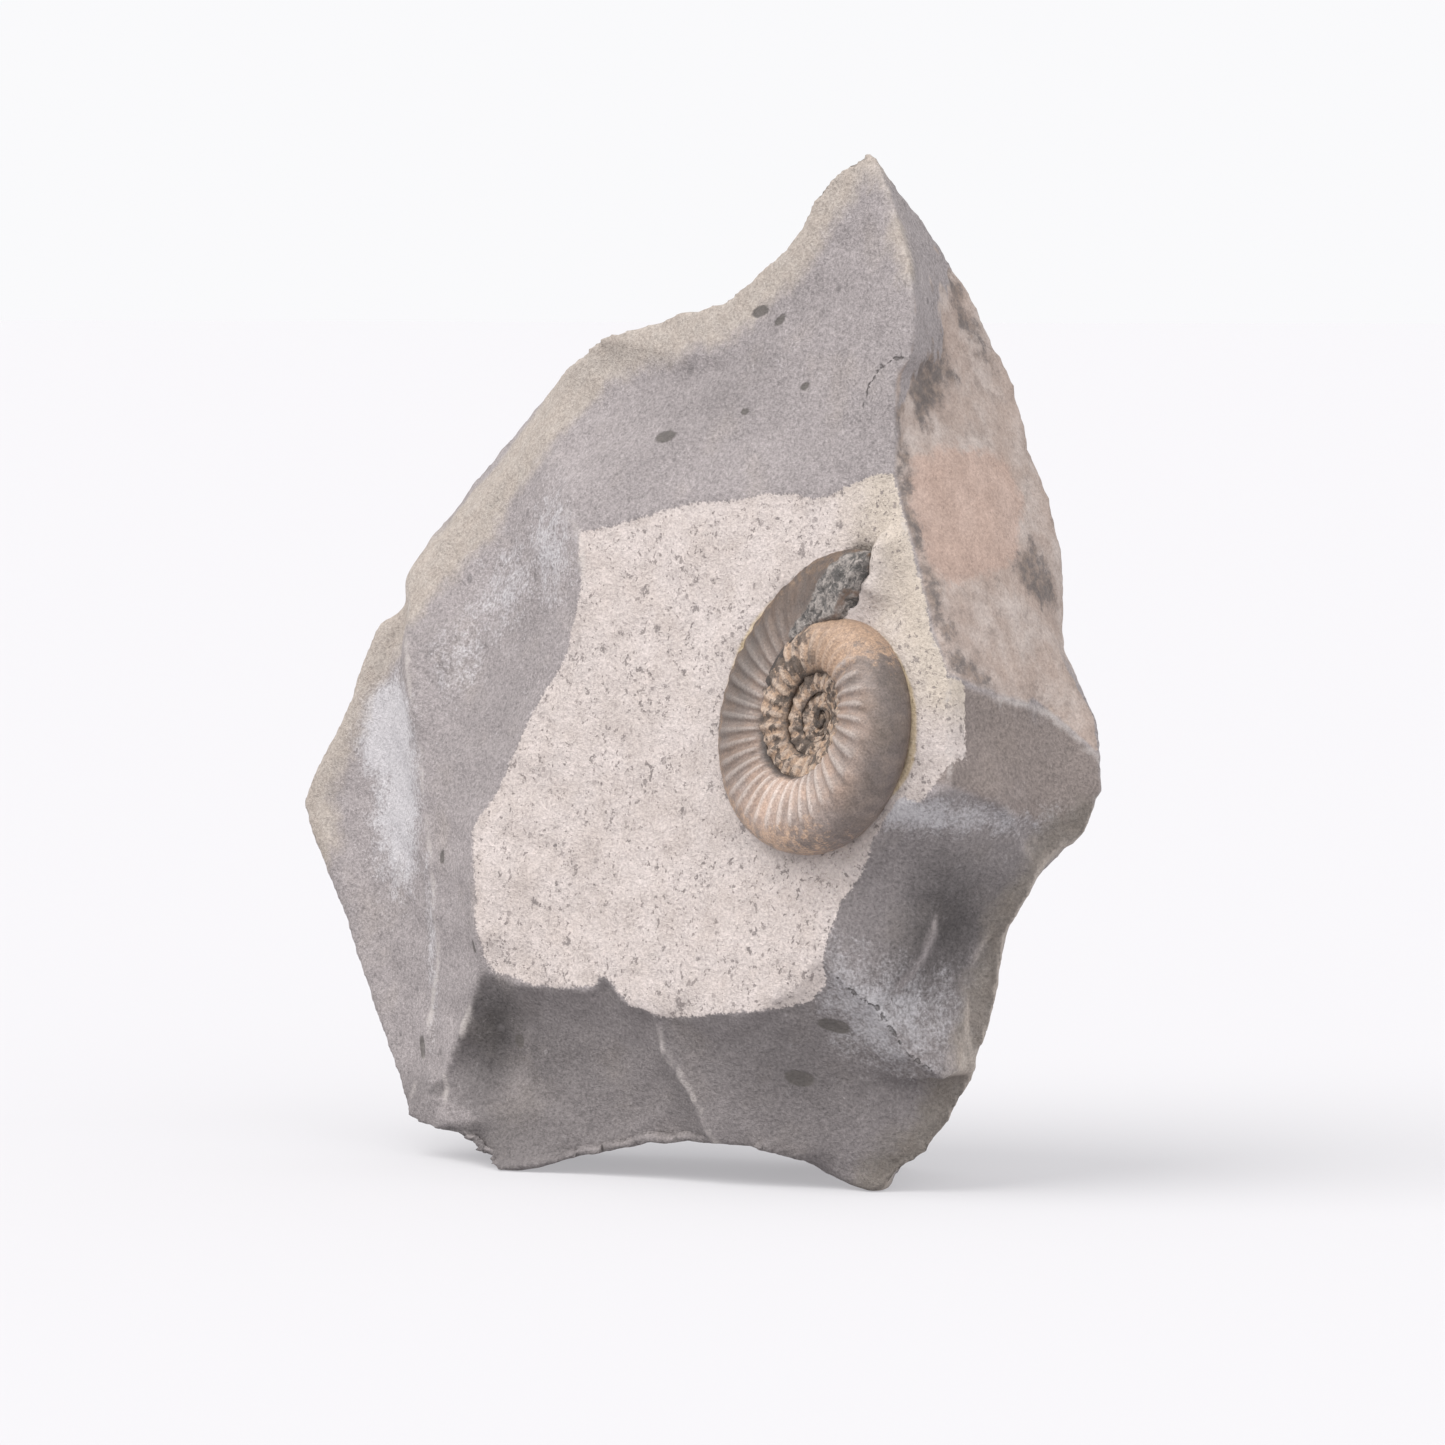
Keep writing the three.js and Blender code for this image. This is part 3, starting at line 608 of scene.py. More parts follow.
def shape_stone(stone, settings, ridges):
    """Rounds off the modelled facets between the ridges, then breaks up the ridges and the faces."""
    surface = Surface(stone)
    ridge = nearest_distance(surface.points, ridges)
    inner = np.min([line_distance(surface.points, line)[0] for line in CRISP], axis=0)
    surface.smooth(0.6 * np.minimum(smooth_step(ridge, 2.2, 5.5), smooth_step(inner, 0.8, 4)), 160)
    surface.smooth(np.full(len(ridge), 0.5), 5)
    surface.smooth(0.5 * (1 - smooth_step(surface.points[:, 2], 8, 15)) * smooth_step(ridge, -1, 2.5), 10)
    ridge = np.minimum(ridge, inner)

    # waves and lumps of the breaks
    normals = surface.normals()
    points = surface.points
    flat = points[:, [0, 2]]
    pale = inside_distance(flat, PALE_PATCH)
    behind = points[:, 1] - FACE_LEAN * (points[:, 2] - FACE_LEVEL)
    front = smooth_step(-normals[:, 1], 0.2, 0.5)
    height = settings.relief / MM * fractal(points, 11, 4, 1)
    height += 0.35 * settings.relief / MM * fractal(points, 3.2, 3, 2)
    height += settings.grain / MM * fractal(points, 1.1, 2, 3)
    # ripples that spread out from the point of impact on the hollow breaks
    across, up = flat.T
    for centre, wave, tall, mask in (
        ((-34, 4, 74), 6.5, 0.12, smooth_step(-across, 24, 30)),
        ((-20, 0, 26), 5.0, 0.10, smooth_step(-up, -21, -17) * smooth_step(-across, 6, 10)),
        ((30, 2, 40), 4.2, 0.10, smooth_step(-up, -39, -35) * smooth_step(across, 22, 26)),
    ):
        reach = np.linalg.norm(points - centre, axis=1) + 2.0 * fractal(points, 8, 2, 4)
        height += tall * mask * front * np.sin(2 * math.pi * reach / wave)
    # the breaks below are cut back behind their edges
    for line, deep, _ in BREAKS:
        height -= deep * (1 - np.exp(-np.clip(inside_distance(flat, line), 0, None) / 2.4)) * front
    # chips along the ridges
    chip = np.clip(fractal(points, 3.4, 2, 5), 0, 1) + 0.6 * np.clip(fractal(points, 8, 2, 6), 0, 1)
    thin, _ = line_distance(points, WING)
    height -= settings.chips / MM * chip * (1 - smooth_step(ridge, 0.3, 2.2)) * smooth_step(thin, 2, 7)
    # the grey stone stands a little above the pale patch
    edge = pale + 0.5 * fractal(points, 2.2, 3, 7)
    on_face = (1 - smooth_step(behind, 3, 6)) * front
    height -= 0.22 * smooth_step(edge, -0.3, 0.3) * on_face

    feet = smooth_step(points[:, 2], 0.3, 2.5)
    surface.points = points + normals * (height * feet * (0.3 + 0.7 * smooth_step(thin, 0.5, 3)))[:, None]
    # the thin left edge is broken back in small bites
    bites = np.clip(fractal(points * (0, 0, 1), 4, 4, 11), 0, 1) * (1 - smooth_step(thin, 0.5, 5))
    corner = 1.7 * smooth_step(up, 44, 55) * (1 - smooth_step(up, 65, 68))
    corner -= 1.1 * np.exp(-((up - 69.5) / 2.6) ** 2)
    surface.points[:, 0] += 0.25 * bites + corner * (1 - smooth_step(thin, 1, 9))
    from_corner = np.linalg.norm(surface.points - (-60, 11.5, 66.5), axis=1)
    surface.smooth(0.5 * (1 - smooth_step(from_corner, 3, 7)), 25)
    surface.points[:, 2] = np.maximum(surface.points[:, 2], 0.001)

    # the matrix rises round the shell and laps over its mouth
    outside, turns = near_coil(surface.points)
    right = smooth_step(np.cos(2 * math.pi * (turns - 0.77)), 0.0, 1.0)
    left = smooth_step(np.cos(2 * math.pi * (turns - 0.2)), -0.2, 0.8)
    collar = np.exp(-(np.clip(outside, 0, None) / 2.2) ** 2) * (1.3 * right + 0.3 * left)
    collar *= smooth_step(outside, -2.4, -1.5)
    flat = surface.points[:, [0, 2]]
    seen = flat - SEEN_SHIFT
    from_lap = line_distance(seen, LAP)[0]
    lap = smooth_step(inside_distance(seen, LAPPED), -1.0, -0.1) * np.exp(-(from_lap / 2.4) ** 2)
    lap = lap * (2.1 + 0.5 * fractal(points, 1.6, 3, 8))
    facing = (behind < 6) & (normals[:, 1] < -0.3)
    surface.points[:, 1] -= np.where(facing, np.maximum(collar, lap), 0)
    surface.store()
    return surface


def mark_stone(surface):
    """Stores what the material needs to know of each place: distances in millimetres, and strengths."""
    points = surface.points
    flat = points[:, [0, 2]]
    normals = surface.normals()
    behind = points[:, 1] - FACE_LEAN * (points[:, 2] - FACE_LEVEL)
    _, nearest = line_distance(points, CREST)
    step = points - nearest
    side = step[:, 1] + 0.6 * step[:, 0]
    lowest = np.interp(points[:, 1], (-1, 8.5, 17.5, 23.5, 27), (60, 57, 55, 49.5, 47))
    side = np.minimum(side, points[:, 2] - lowest)
    turned = smooth_step(normals[:, 1], -0.05, 0.35)
    side = side * (1 - 0.9 * turned) + turned * (1.7 * fractal(points, 17, 4, 13) - 0.7)
    pale = np.minimum(inside_distance(flat, PALE_PATCH), np.minimum(3.2 - behind, -side + 0.3))
    surface.attribute("pale", pale)
    surface.attribute("side", side)
    rind = np.minimum(line_distance(points, LEFT_EDGE)[0], line_distance(points, LOW_RIGHT_EDGE)[0] + 1.5)
    rind = np.minimum(rind, line_distance(points, CREST[:4])[0] + 3) + 2 * smooth_step(points[:, 2], 106, 114)
    surface.attribute("rind", rind)
    facing = smooth_step(-normals[:, 1], -0.1, 0.3)
    surface.attribute("frost", blobs(flat, FROST) * facing)
    beside = points[:, [1, 2]]
    stains = [inside_distance(beside, line) for line in STAINS]
    surface.attribute("stain", np.max([*stains, 1.1 - line_distance(beside, STRIP)[0]], axis=0))
    surface.attribute("pink", inside_distance(beside, PINK))
    dark = np.full(len(points), -9.0)
    for oval in INCLUSIONS:
        _, _, half_width, half_height, _ = oval
        dark = np.maximum(dark, (1 - oval_distance(flat, *oval)) * min(half_width, half_height))
    surface.attribute("inclusion", np.where(facing > 0.5, dark, -9.0))
    for name, lines, others in (("crack", CRACKS, []), ("edge", WORN_AND_HIGHLIT_EDGES, [CREST, SHELF_EDGE])):
        far = np.min([line_distance(flat, np.array(line)[:, [0, 2]])[0] for line in lines], axis=0)
        far = np.where((facing > 0.3) & (behind < 12), far, 9)
        surface.attribute(name, np.min([far, *(line_distance(points, line)[0] for line in others)], axis=0))
    outside, turns = near_coil(points)
    right = smooth_step(np.cos(2 * math.pi * (turns - 0.83)), 0.1, 0.7)
    surface.attribute("coil", np.where(behind < 6, outside + 2 * (1 - right), 30))
    surface.attribute("mud", np.where(behind < 6, inside_distance(flat, MUD), -9))
    # painted shade: the breaks below the pale patch, which face down, are darkened; low also holds a darker
    # tone on the face under the shelf
    painted_shade_on_breaks = [smooth_step(inside_distance(flat, line), -0.3, 0.4) * dark * facing for line, _, dark in BREAKS]
    under = smooth_step(inside_distance(beside, UNDER_SIDE), -0.3, 0.6)
    under *= smooth_step(points[:, 0], 27, 30) * (1 - turned)
    surface.attribute("low", np.max([*painted_shade_on_breaks, 0.35 * under], axis=0))
    surface.attribute("under", under)
    # painted shade: soft dark spots in the hollows of the breaks
    surface.attribute("shade", blobs(flat, SHADES) * facing)


def stone_material(settings):
    g = Graph("mudstone")
    fine = g.swing(0.17, 2.0, 0.8)
    grain = g.swing(0.36, 2.0, 0.6)
    lumps = g.swing(3.0, 4.0, 0.6)
    broad = g.swing(14.0, 3.0, 0.5)
    ragged = g.swing(1.1, 4.0, 0.65) * 1.1 + g.swing(5.0, 2.0, 0.5) * 1.6
    sand = fine * 0.6 + grain * 1.25 + g.swing(0.9, 3.0, 0.6) * 0.45

    # fresh grey break, with the painted shade of the breaks below and of the soft dark spots
    dark = g.attribute("low") + (g.attribute("shade") + lumps * 0.5).clamped() * 0.5
    tone = (1.0 + sand + lumps * 0.5 + broad * 0.35) * (1.0 - dark)
    body = g.shade(settings.grey, tone)
    warm = g.shade((0.31, 0.27, 0.245), tone)
    body = g.mix(g.noise(9.0, 3.0, 0.6).rise(0.5, 0.8) * 0.4, body, warm)
    specks = g.noise(0.6, 3.0, 0.7, g.moved(g.place, (9.0, 0.0, 0.0))).rise(0.645, 0.70)
    pits = g.flecks(3.4, 0.22, g.moved(g.wobble(0.7, 0.35), (5.0, 0.0, 0.0)))
    scratch = g.noise(2.0, 2.0, 0.5, g.wobble(6.0, 1.0), stretch=(0.3, 0.3, 2.6))
    scratch = scratch.rise(0.488, 0.5) * scratch.fall(0.5, 0.512) * g.noise(7.0, 3.0, 0.6).rise(0.55, 0.65)
    body = g.mix((specks * 0.4).most(pits * 0.6), body, settings.fleck)
    body = g.mix(scratch * 0.45, body, g.shade(body, 1.9))
    body = g.mix(g.attribute("under") * 0.45, body, g.shade((0.25, 0.195, 0.165), tone * 1.25))

    # frosted patches and the weathered rim
    frost = g.attribute("frost") + g.swing(2.2, 5.0, 0.75) * 1.3 + sand * 0.5
    # painted shade: the frost is darkened on the breaks below
    frosted = g.shade(settings.frost, (1.0 + sand * 0.6) * (1.0 - g.attribute("low") * 0.7))
    body = g.mix(frost.rise(0.15, 0.8) * 0.75, body, frosted)
    rind_edge = g.attribute("rind") + g.swing(4.0, 5.0, 0.65) * 6.0
    rind = rind_edge.fall(3.4, 6.8)
    mottled = g.mix(g.noise(2.4, 4.0, 0.6).rise(0.35, 0.7), settings.rind, (0.35, 0.31, 0.275))
    # painted shade: the rind is darkened on the breaks below
    mottled = g.shade(mottled, (1.0 + sand * 0.8 + lumps * 0.3) * (1.0 - g.attribute("low") * 1.7))
    body = g.mix(rind * 0.85, body, mottled)

    # weathered right side
    skin = g.mix(g.noise(6.0, 4.0, 0.6).rise(0.35, 0.7), settings.brown, (0.35, 0.30, 0.275))
    pink = (g.attribute("pink") + g.swing(2.0, 5.0, 0.7) * 5.0).rise(-0.8, 0.9)
    skin = g.mix(pink * 0.7, skin, (0.36, 0.255, 0.21))
    blotch = g.swing(3.4, 6.0, 0.75) * 11.0 + grain * 3.0
    stain = (g.attribute("stain") + blotch).rise(-0.7, 1.6)
    stained = g.mix(g.noise(1.4, 4.0, 0.7).rise(0.4, 0.65), (0.10, 0.086, 0.082), (0.205, 0.16, 0.135))
    skin = g.mix(stain * 0.9, skin, stained)
    patches = g.noise(2.2, 5.0, 0.7, g.moved(g.place, (0.0, 30.0, 0.0))).rise(0.54, 0.66)
    patches = patches * pink.fall(0.2, 0.8)
    skin = g.mix(patches * 0.38, skin, (0.17, 0.14, 0.125))
    skin = g.shade(skin, 1.0 + sand * 0.6 + lumps * 0.6)
    side = (g.attribute("side") + ragged * 0.3).rise(0.1, 0.9)
    body = g.mix(side, body, skin)

    # pale patch with its flecks
    inside = g.attribute("pale") + ragged * 0.45 + sand * 0.8
    pale = inside.rise(-0.12, 0.14)
    cloud = g.noise(4.5, 4.0, 0.6)
    tint = g.mix(cloud.rise(0.3, 0.75), settings.pale, (0.43, 0.375, 0.35))
    tint = g.shade(tint, 0.965 + sand * 0.62 + lumps * 0.3)
    strip = (g.attribute("side") + g.swing(2.5, 3.0) * 4.0).rise(-7.0, -1.0)
    tint = g.mix(strip * 0.75, tint, g.shade((0.40, 0.345, 0.285), 1.0 + sand * 0.6))
    crowd = g.noise(5.0, 3.0, 0.6).rise(0.35, 0.7)
    large = (g.noise(1.3, 3.0, 0.65, g.wobble(0.6, 0.3)) + crowd * 0.03).rise(0.665, 0.70)
    small = (g.noise(0.75, 3.0, 0.7, g.wobble(0.5, 0.2)) + crowd * 0.06).rise(0.635, 0.68)
    dusty = (g.noise(0.4, 3.0, 0.75) + crowd * 0.05).rise(0.60, 0.68)
    coarse = g.flecks(2.6, 0.3, g.wobble(0.55, 0.9)) * g.noise(0.45, 3.0, 0.7).rise(0.42, 0.52)
    middle = g.flecks(1.3, 0.33, g.moved(g.wobble(0.4, 0.5), (0.0, 0.0, 7.0))) * (0.4 + crowd * 0.6)
    flecks = (large * 0.85).most(small * 0.75).most(dusty * 0.35).most(coarse * 0.8).most(middle * 0.7)
    tint = g.mix(flecks, tint, g.mix(g.noise(1.5), settings.fleck, (0.19, 0.16, 0.15)))
    body = g.mix(pale, body, tint)

    # dark inclusions, cracks, pale lines along the ridges that are partly wear and partly painted highlight,
    # mud at the shell's mouth and the rusty line round the shell
    dark = (g.attribute("inclusion") + ragged * 0.45).rise(-0.08, 0.16)
    body = g.mix(dark * 0.9, body, g.mix(g.noise(0.8), (0.045, 0.04, 0.038), (0.13, 0.115, 0.105)))
    crack = (g.attribute("crack") + sand * 0.25 + g.swing(2.0, 4.0, 0.6) * 1.1).fall(0.02, 0.17)
    body = g.mix(crack * 0.6, body, (0.05, 0.045, 0.042))
    # pale line along the ridges: partly wear, partly painted highlight
    wear_and_highlight = (g.attribute("edge") + g.swing(1.4, 4.0, 0.7) * 2.4 + sand * 0.6).fall(0.0, 0.8)
    wear_and_highlight = wear_and_highlight * g.noise(4.5, 3.0, 0.6).rise(0.36, 0.56)
    body = g.mix(wear_and_highlight * 0.55, body, g.mix(side, (0.46, 0.42, 0.40), (0.48, 0.37, 0.29)))
    streaks = g.noise(1.3, 4.0, 0.7, g.wobble(2.0, 1.2), stretch=(1.8, 1.8, 0.35))
    smear = g.mix(streaks.rise(0.38, 0.62), (0.10, 0.095, 0.09), (0.33, 0.30, 0.28))
    mud = (g.attribute("mud") + ragged * 0.8).rise(0.1, 0.7)
    body = g.mix(mud * 0.95, body, smear)
    rusty = (g.attribute("coil") + g.swing(1.2) * 0.5)
    rusty = rusty.fall(-0.35, 0.1) * rusty.rise(-2.6, -2.0)
    body = g.mix(rusty * 0.6, body, (0.44, 0.33, 0.17))

    height = grain * 0.2 + g.swing(0.9, 3.0, 0.6) * 0.2 + fine * 0.1
    height = height * (1.0 - side * 0.35) - flecks * pale * 0.06 - crack * 0.3 - dark * 0.08 - specks * 0.03
    height = height + (streaks - 0.5) * mud * 0.5
    roughness = 0.86 + grain * 0.1 - side * 0.12 - dark * 0.2
    return g.surface(body, roughness, height)


class FOSSIL_OT_stone(bpy.types.Operator):
    """Build the broken stone with its pale patch, weathered side and chipped ridges"""

    bl_idname = "fossil.stone"
    bl_label = "Stone"

    def execute(self, context):
        settings = context.scene.fossil_stone
        stone = copy_of_node("matrix_stone")
        ridges = sharp_edges(stone, RIDGE_ANGLE)
        plug = seat_plug()
        beads = [edge_bead(WING, inwards, 0.35 + 0.2 * inwards) for inwards in BEADS]
        activate(stone)
        for part in (plug, *beads):
            part.select_set(True)
        bpy.ops.object.join()
        outside, _ = near_coil(np.array(ridges))
        ridges = [p for p, far in zip(ridges, outside) if far > 2.5 or p[1] > 8]
        remesh = stone.modifiers.new("cells", "REMESH")
        remesh.mode = "VOXEL"
        remesh.voxel_size = settings.voxel
        bpy.ops.object.modifier_apply(modifier=remesh.name)
        surface = shape_stone(stone, settings, ridges)
        mark_stone(surface)
        activate(stone)
        bpy.ops.object.shade_smooth()
        stone.data.materials.append(stone_material(settings))
        finish_piece(stone, "matrix_stone")
        return {"FINISHED"}


# ---------------------------------------------------------------- the ammonite

def section(angle):
    """The section of a whorl of radius 1: distance from the axis, and height above the middle plane."""
    cos, sin = np.cos(angle), np.sin(angle)
    out = 1 - HALF_HEIGHT + HALF_HEIGHT * np.sign(cos) * np.abs(cos) ** SQUARENESS
    return out, HALF_WIDTH * np.sign(sin) * np.abs(sin) ** SQUARENESS


def seam_angle():
    """Where a whorl meets the one inside it: the section's angle on the inner one, and on the outer one."""
    angles = np.linspace(math.pi / 4, math.pi / 2, 4000)
    out, up = section(angles)
    across = np.clip((out / COIL_GROWTH - 1 + HALF_HEIGHT) / HALF_HEIGHT, -1, 1)
    outer = np.arccos(np.sign(across) * np.abs(across) ** (1 / SQUARENESS))
    first = np.argmax(up / COIL_GROWTH > section(outer)[1])
    return angles[first], outer[first]


def ammonite_mesh(settings):
    """One closed tube, wound up from the core to the mouth. Its inner side fits over the whorl inside it."""
    outer_seam, inner_seam = seam_angle()
    # turns back from the mouth: the steps get longer towards the core
    steps = [-HIDDEN_TURNS]
    while steps[-1] < WHORLS:
        steps.append(steps[-1] + COIL_GROWTH ** (0.55 * steps[-1]) / settings.steps)
    turns = np.array(steps[::-1])
    count = len(turns)
    radius = coil_radius(turns)
    spoke = MOUTH_SPOKE + 2 * math.pi * turns
    crushed = 0.45 + 0.55 * smooth_step(turns, 0, 0.5)

    # the ring of a section: down the upper flank, over the venter, down the lower flank and back underneath
    upper = np.linspace(inner_seam, -0.35, 44)
    lower = np.linspace(-0.35, -inner_seam, 14)[1:]
    outside = np.concatenate([upper, lower])
    out, up = section(outside)
    under_out, under_up = section(np.linspace(-outer_seam, outer_seam, 9)[1:-1])

    # ribs: strong from the seam to the shoulder, bent forwards, faint over the venter
    onwards = np.clip((inner_seam - np.abs(outside)) / inner_seam, 0, 1)
    wander = np.array([noise.noise(Vector((t * 9, 3, 7))) for t in turns])[:, None] * 0.3
    phase = settings.ribs * (1 - np.exp(-0.45 * turns))[:, None] / 0.45
    ridge = 0.5 + 0.5 * np.cos(2 * math.pi * (phase + 0.9 * onwards[None, :] ** 1.6 + wander))
    striae = 0.5 + 0.5 * np.cos(2 * math.pi * (3 * phase + 3.5 * onwards[None, :] ** 1.6 + 2 * wander))
    away = np.abs(outside)
    reach = smooth_step(inner_seam - away, 0.0, 0.45)
    shoulder = smooth_step(away, 0.75, 1.4)
    mouth_fade = smooth_step(turns, 0.03, 0.2)[:, None]
    rib = ridge * (reach * (0.08 + 0.92 * shoulder))[None, :] * (0.5 + 0.5 * mouth_fade)
    lift = settings.rib_height * (1.3 * rib + 0.12 * striae * ((1 - shoulder) * (outside > -0.3))[None, :])

    far = radius[:, None] * (out[None, :] + lift * np.cos(outside)[None, :])
    high = radius[:, None] * (up[None, :] + lift * np.sin(outside)[None, :]) * crushed[:, None]
    inner_radius = radius / COIL_GROWTH
    hollow = np.where(turns > WHORLS - 1, 0.02, 1.0)[:, None]
    under_far = inner_radius[:, None] * under_out[None, :] * hollow + 0.01
    under_high = inner_radius[:, None] * under_up[None, :]
    # at the seams the whorl meets the one inside it, which isn't crushed, a little below its surface
    seam_far, seam_up = section(np.array([outer_seam]))
    for index, sign in ((0, 1), (len(outside) - 1, -1)):
        far[:, index] = inner_radius * seam_far[0]
        high[:, index] = sign * inner_radius * (seam_up[0] - 0.05)
    far = np.concatenate([far, under_far], 1)
    high = np.concatenate([high, under_high], 1)
    ring = far.shape[1]
    cos, sin = np.cos(spoke)[:, None], np.sin(spoke)[:, None]
    flat_points = np.stack([far * cos, far * sin, high], 2).reshape(-1, 3)

    # the inner whorls are crumbled, and so is the last one towards its mouth
    crumbled = 0.14 + 0.86 * smooth_step(turns, 0.93, 1.15) + 0.6 * smooth_step(turns, 1.7, 2.4)
    crumbled += 0.35 * (1 - smooth_step(turns, 0.05, 0.3))
    bumps = fractal(flat_points, 1.9, 4, 9) * 0.28 - 0.3 * smooth_step(turns, 0.93, 1.1).repeat(ring)
    skin = smooth_step(inner_seam - away, -0.05, 0.3) * (outside > -0.5)
    skin = np.concatenate([skin, np.zeros(ring - len(outside))])
    flat_points[:, 2] += np.repeat(crumbled, ring) * bumps * np.tile(skin, count)
    flat_points[:, 2] += 0.45 * np.repeat(smooth_step(turns, 3.0, 4.2), ring)

    # the end of the last whorl goes under the matrix, with mud smeared beside it
    to_row = np.array(coil_matrix())
    places = flat_points @ to_row[:3, :3].T + to_row[:3, 3]
    flat = (places / MM - np.array(GRID_SHIFT))[:, [0, 2]]
    last = np.repeat(turns < 0.22, ring)
    seen = flat - SEEN_SHIFT
    lapped = inside_distance(seen, LAPPED)
    sunk = smooth_step(lapped, -0.1, 0.9) * last
    mud = np.where(last, np.maximum(inside_distance(seen, MUD), lapped), -9.0)
    wet = smooth_step(mud, -0.5, 0.4) * np.tile(skin, count)
    flat_points[:, 2] += wet * (0.2 + 0.35 * fractal(flat_points, 1.1, 3, 12))
    flat_points[:, 2] -= 4.5 * sunk

    faces = []
    for i in range(count - 1):
        for j in range(ring):
            k = (j + 1) % ring
            faces.append((i * ring + j, i * ring + k, (i + 1) * ring + k, (i + 1) * ring + j))
    ends = [len(flat_points), len(flat_points) + 1]
    last_ring = (count - 1) * ring
    mouth = flat_points[last_ring:].mean(0)
    flat_points = np.concatenate([flat_points, [(0.0, 0.0, 0.1), mouth]])
    faces += [(j, ends[0], (j + 1) % ring) for j in range(ring)]
    faces += [(last_ring + (j + 1) % ring, ends[1], last_ring + j) for j in range(ring)]

    mesh = bpy.data.meshes.new("ammonite")
    mesh.from_pydata((flat_points @ to_row[:3, :3].T + to_row[:3, 3]).tolist(), [], faces)
    mesh.update()

    zeros = np.zeros((count, ring - len(outside)))
    marks = {
        "turns": np.repeat(turns, ring),
        "across": np.tile(np.concatenate([onwards, zeros[0]]), count),
        "rib": np.concatenate([rib, zeros], 1),
        "phase": np.concatenate([phase + 0.9 * onwards[None, :] ** 1.6, zeros], 1),
        "mud": mud,
    }
    for name, values in marks.items():
        store_attribute(mesh, name, np.concatenate([values.ravel(), [0, 0]]))
    return mesh


def shell_material(settings):
    g = Graph("fossil shell")
    turns = g.attribute("turns")
    across = g.attribute("across")  # 0 at the seam, about 0.45 at the shoulder, 1 in the middle of the venter
    rib = g.attribute("rib")
    grain = g.noise(0.25, 3.0, 0.7)
    cloud = g.noise(3.5, 4.0, 0.6)
    inner = (turns + g.swing(2.0, 4.0, 0.6) * 0.22).rise(0.93, 1.06)

    along = g.node("ShaderNodeCombineXYZ", {}, {"X": g.attribute("phase"), "Y": across * 2.2, "Z": turns})
    streak = g.noise(0.55, 4.0, 0.7, along)
    broad = g.noise(2.4, 3.0, 0.6, along)
    flank = g.mix(cloud.rise(0.3, 0.75), settings.shell, (0.25, 0.178, 0.14))
    venter = g.mix(cloud.rise(0.3, 0.8), (0.105, 0.086, 0.08), (0.15, 0.118, 0.10))
    body = g.mix((across + (cloud - 0.5) * 0.3).rise(0.5, 0.9), flank, venter)
    body = g.shade(body, 1.0 + (streak - 0.5) * 1.3 + (broad - 0.5) * 0.7)
    # painted highlight on the rib crests
    body = g.mix((rib + (grain - 0.5) * 0.5).rise(0.45, 1.0) * 0.62, body, settings.rib_highlight)
    # crumbly tan spots: at the start of the last whorl, and along its outer rim on the left and below
    rusty = (turns.rise(0.72, 0.98) + g.swing(1.5, 4.0, 0.7) * 1.6).rise(0.45, 0.8)
    rim = across.rise(0.3, 0.65) * turns.fall(0.5, 0.72) + g.swing(0.9, 5.0, 0.75) * 2.6
    rim = rim.rise(0.75, 1.15)
    speckle = g.mix(grain, (0.20, 0.135, 0.10), (0.50, 0.335, 0.22))
    body = g.mix(rusty.most(rim * 0.85) * 0.75, body, speckle)
    # painted light: the lower flank, which faces down, is made lighter, and the outer half of the flank on
    # the left darker
    painted_light_below = turns.rise(0.3, 0.5) * turns.fall(0.5, 0.72)
    body = g.shade(body, 1.0 + painted_light_below * 0.55 - turns.fall(0.2, 0.45) * across.rise(0.0, 0.5) * 0.55)

    crumbs = g.noise(0.8, 4.0, 0.7)
    core = g.mix(crumbs.rise(0.36, 0.6), (0.16, 0.125, 0.105), settings.tan)
    # painted highlight on the ribs of the inner whorls, broken up by the crumbs
    core = g.mix((rib + (crumbs - 0.5) * 1.2).rise(0.3, 0.9) * 0.5, core, (0.44, 0.36, 0.30))
    core = g.mix(g.noise(2.2, 5.0, 0.7).rise(0.50, 0.56) * 0.85, core, settings.dark)
    body = g.mix(inner * 0.92, body, core)

    # painted shade in the seams between the whorls, less on the crumbled inner whorls
    seam_shade = (across + g.swing(0.8, 3.0, 0.6) * 0.08).fall(0.03, 0.13)
    body = g.mix(seam_shade * (0.9 - inner * 0.35), body, settings.dark)

    swirl = g.noise(1.0, 4.0, 0.7, g.wobble(1.6, 1.3))
    smear = g.mix(swirl.rise(0.4, 0.6), (0.085, 0.08, 0.077), (0.30, 0.27, 0.25))
    mud = (g.attribute("mud") + g.swing(1.2, 4.0, 0.7) * 1.6).rise(-0.1, 0.35)
    body = g.mix(mud * 0.95, body, smear)
    body = g.shade(body, 1.0 + (grain - 0.5) * 1.5)

    height = (grain - 0.5) * 0.1 + g.swing(0.9, 4.0, 0.6) * (0.1 + inner * 0.45) + (streak - 0.5) * 0.1
    height = height + (swirl - 0.5) * mud * 0.7
    roughness = 0.42 + (grain - 0.5) * 0.3 + inner * 0.3 + mud * 0.25
    return g.surface(body, roughness, height)


class FOSSIL_OT_ammonite(bpy.types.Operator):
    """Build the ribbed ammonite that is half sunk in the pale patch"""

    bl_idname = "fossil.ammonite"
    bl_label = "Ammonite"

    def execute(self, context):
        settings = context.scene.fossil_shell
        shell = bpy.data.objects.new("ammonite_look", ammonite_mesh(settings))
        bpy.context.collection.objects.link(shell)
        activate(shell)
        bpy.ops.object.mode_set(mode="EDIT")
        bpy.ops.mesh.select_all(action="SELECT")
        bpy.ops.mesh.normals_make_consistent(inside=False)
        bpy.ops.object.mode_set(mode="OBJECT")
        bpy.ops.object.shade_smooth()
        shell.data.materials.append(shell_material(settings))
        finish_piece(shell, "ammonite_shell")
        return {"FINISHED"}


# ---------------------------------------------------------------- the stage

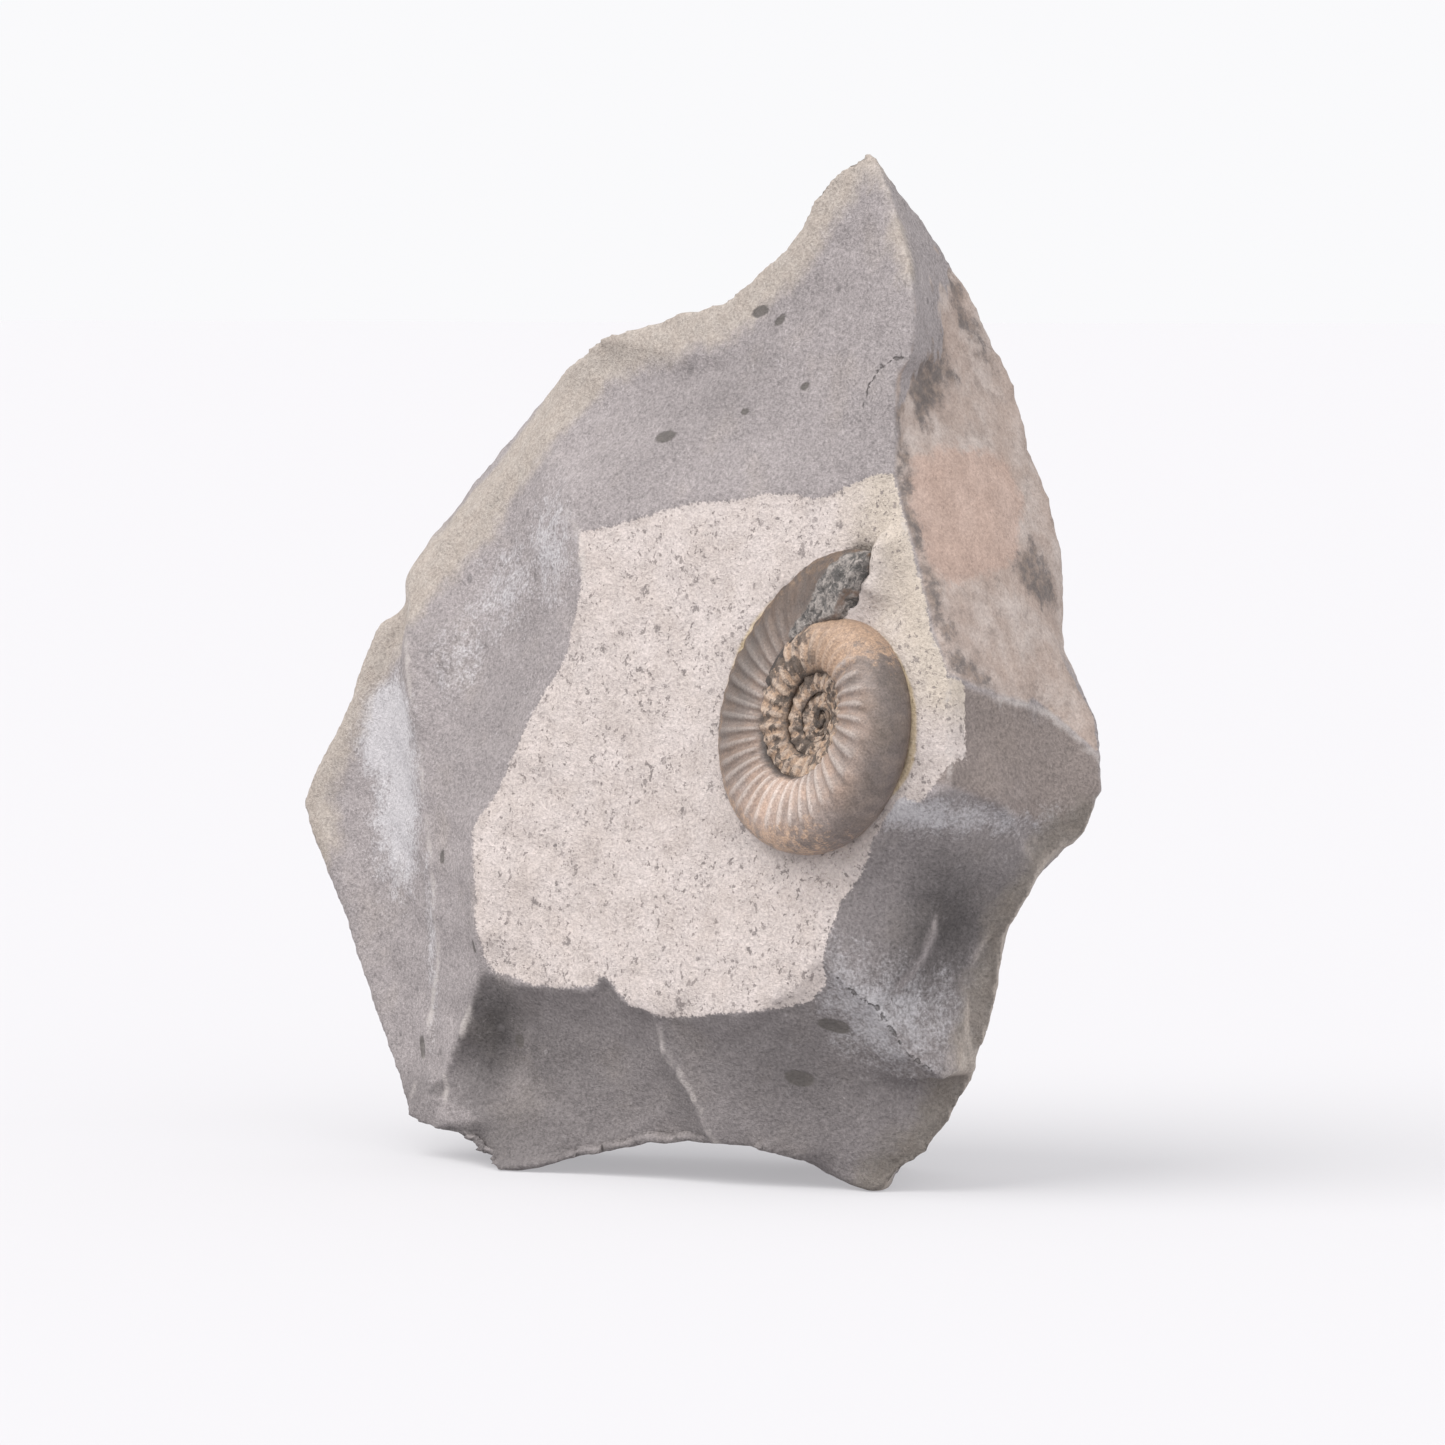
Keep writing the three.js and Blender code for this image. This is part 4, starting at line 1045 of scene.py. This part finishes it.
def soft_sun(name, towards, spread, strength, tint=(1, 1, 1)):
    """A distant soft light that comes from this direction."""
    bpy.ops.object.light_add(type="SUN", location=(0, 0, 1))
    light = bpy.context.active_object
    light.name = name
    light.data.angle = math.radians(spread)
    light.data.energy = strength
    light.data.color = tint
    light.rotation_mode = "QUATERNION"
    light.rotation_quaternion = Vector(towards).to_track_quat("Z", "Y")
    return light


class FOSSIL_OT_stage(bpy.types.Operator):
    """Set out the floor, the lights and the camera"""

    bl_idname = "fossil.stage"
    bl_label = "Stage"

    def execute(self, context):
        settings = context.scene.fossil_stage
        bpy.ops.object.select_all(action="DESELECT")
        bpy.ops.mesh.primitive_plane_add(size=60)
        floor = bpy.context.active_object
        floor.name = "floor"
        g = Graph("paper")
        paper = g.node("ShaderNodeBsdfDiffuse", {}, {"Color": (0.30, 0.297, 0.303, 1), "Roughness": 0.0})
        glow = g.node("ShaderNodeEmission", {}, {"Color": (1.0, 0.985, 1.02, 1), "Strength": 0.375})
        shader = g.node("ShaderNodeAddShader", {}, {0: paper, 1: glow})
        floor.data.materials.append(g.end(shader))

        world = bpy.data.worlds.new("studio")
        context.scene.world = world
        world.use_nodes = True
        background = world.node_tree.nodes["Background"]
        background.inputs["Color"].default_value = (1.0, 1.0, 1.015, 1)
        background.inputs["Strength"].default_value = settings.sky

        soft_sun("key", (-0.22, -0.6, 0.77), 55, settings.key, (1.0, 0.99, 0.975))
        soft_sun("fill", (0.9, -0.25, 0.45), 70, settings.fill)

        camera = bpy.data.objects.new("camera", bpy.data.cameras.new("camera"))
        context.collection.objects.link(camera)
        camera.data.lens = settings.lens
        camera.data.sensor_width = 36
        target = (Vector((0, -0.9, 53.5)) + GRID_SHIFT) * MM
        back = Vector((
            math.sin(settings.azimuth) * math.cos(settings.elevation),
            -math.cos(settings.azimuth) * math.cos(settings.elevation),
            math.sin(settings.elevation),
        ))
        camera.location = target + back * settings.distance
        camera.rotation_mode = "QUATERNION"
        camera.rotation_quaternion = (-back).to_track_quat("-Z", "Y")
        camera.data.clip_start, camera.data.clip_end = 0.05, 60
        context.scene.camera = camera
        context.scene.view_settings.view_transform = "Standard"
        return {"FINISHED"}


class FOSSIL_PT_panel(bpy.types.Panel):
    """The fossil's settings and the steps that build it"""

    bl_label = "Fossil"
    bl_idname = "FOSSIL_PT_panel"
    bl_space_type = "VIEW_3D"
    bl_region_type = "UI"
    bl_category = "Fossil"

    def draw(self, context):
        for operator, settings in (
            (FOSSIL_OT_stone, context.scene.fossil_stone),
            (FOSSIL_OT_ammonite, context.scene.fossil_shell),
            (FOSSIL_OT_stage, context.scene.fossil_stage),
        ):
            box = self.layout.box()
            for name in settings.bl_rna.properties.keys():
                if name not in {"rna_type", "name"}:
                    box.prop(settings, name)
            box.operator(operator.bl_idname)


CLASSES = (
    StoneSettings,
    ShellSettings,
    StageSettings,
    FOSSIL_OT_stone,
    FOSSIL_OT_ammonite,
    FOSSIL_OT_stage,
    FOSSIL_PT_panel,
)


def register():
    for cls in CLASSES:
        bpy.utils.register_class(cls)
    bpy.types.Scene.fossil_stone = PointerProperty(type=StoneSettings)
    bpy.types.Scene.fossil_shell = PointerProperty(type=ShellSettings)
    bpy.types.Scene.fossil_stage = PointerProperty(type=StageSettings)


def unregister():
    del bpy.types.Scene.fossil_stage
    del bpy.types.Scene.fossil_shell
    del bpy.types.Scene.fossil_stone
    for cls in reversed(CLASSES):
        bpy.utils.unregister_class(cls)


def main():
    register()
    bpy.ops.fossil.stone()
    bpy.ops.fossil.ammonite()
    bpy.ops.fossil.stage()


if __name__ == "__main__":
    main()
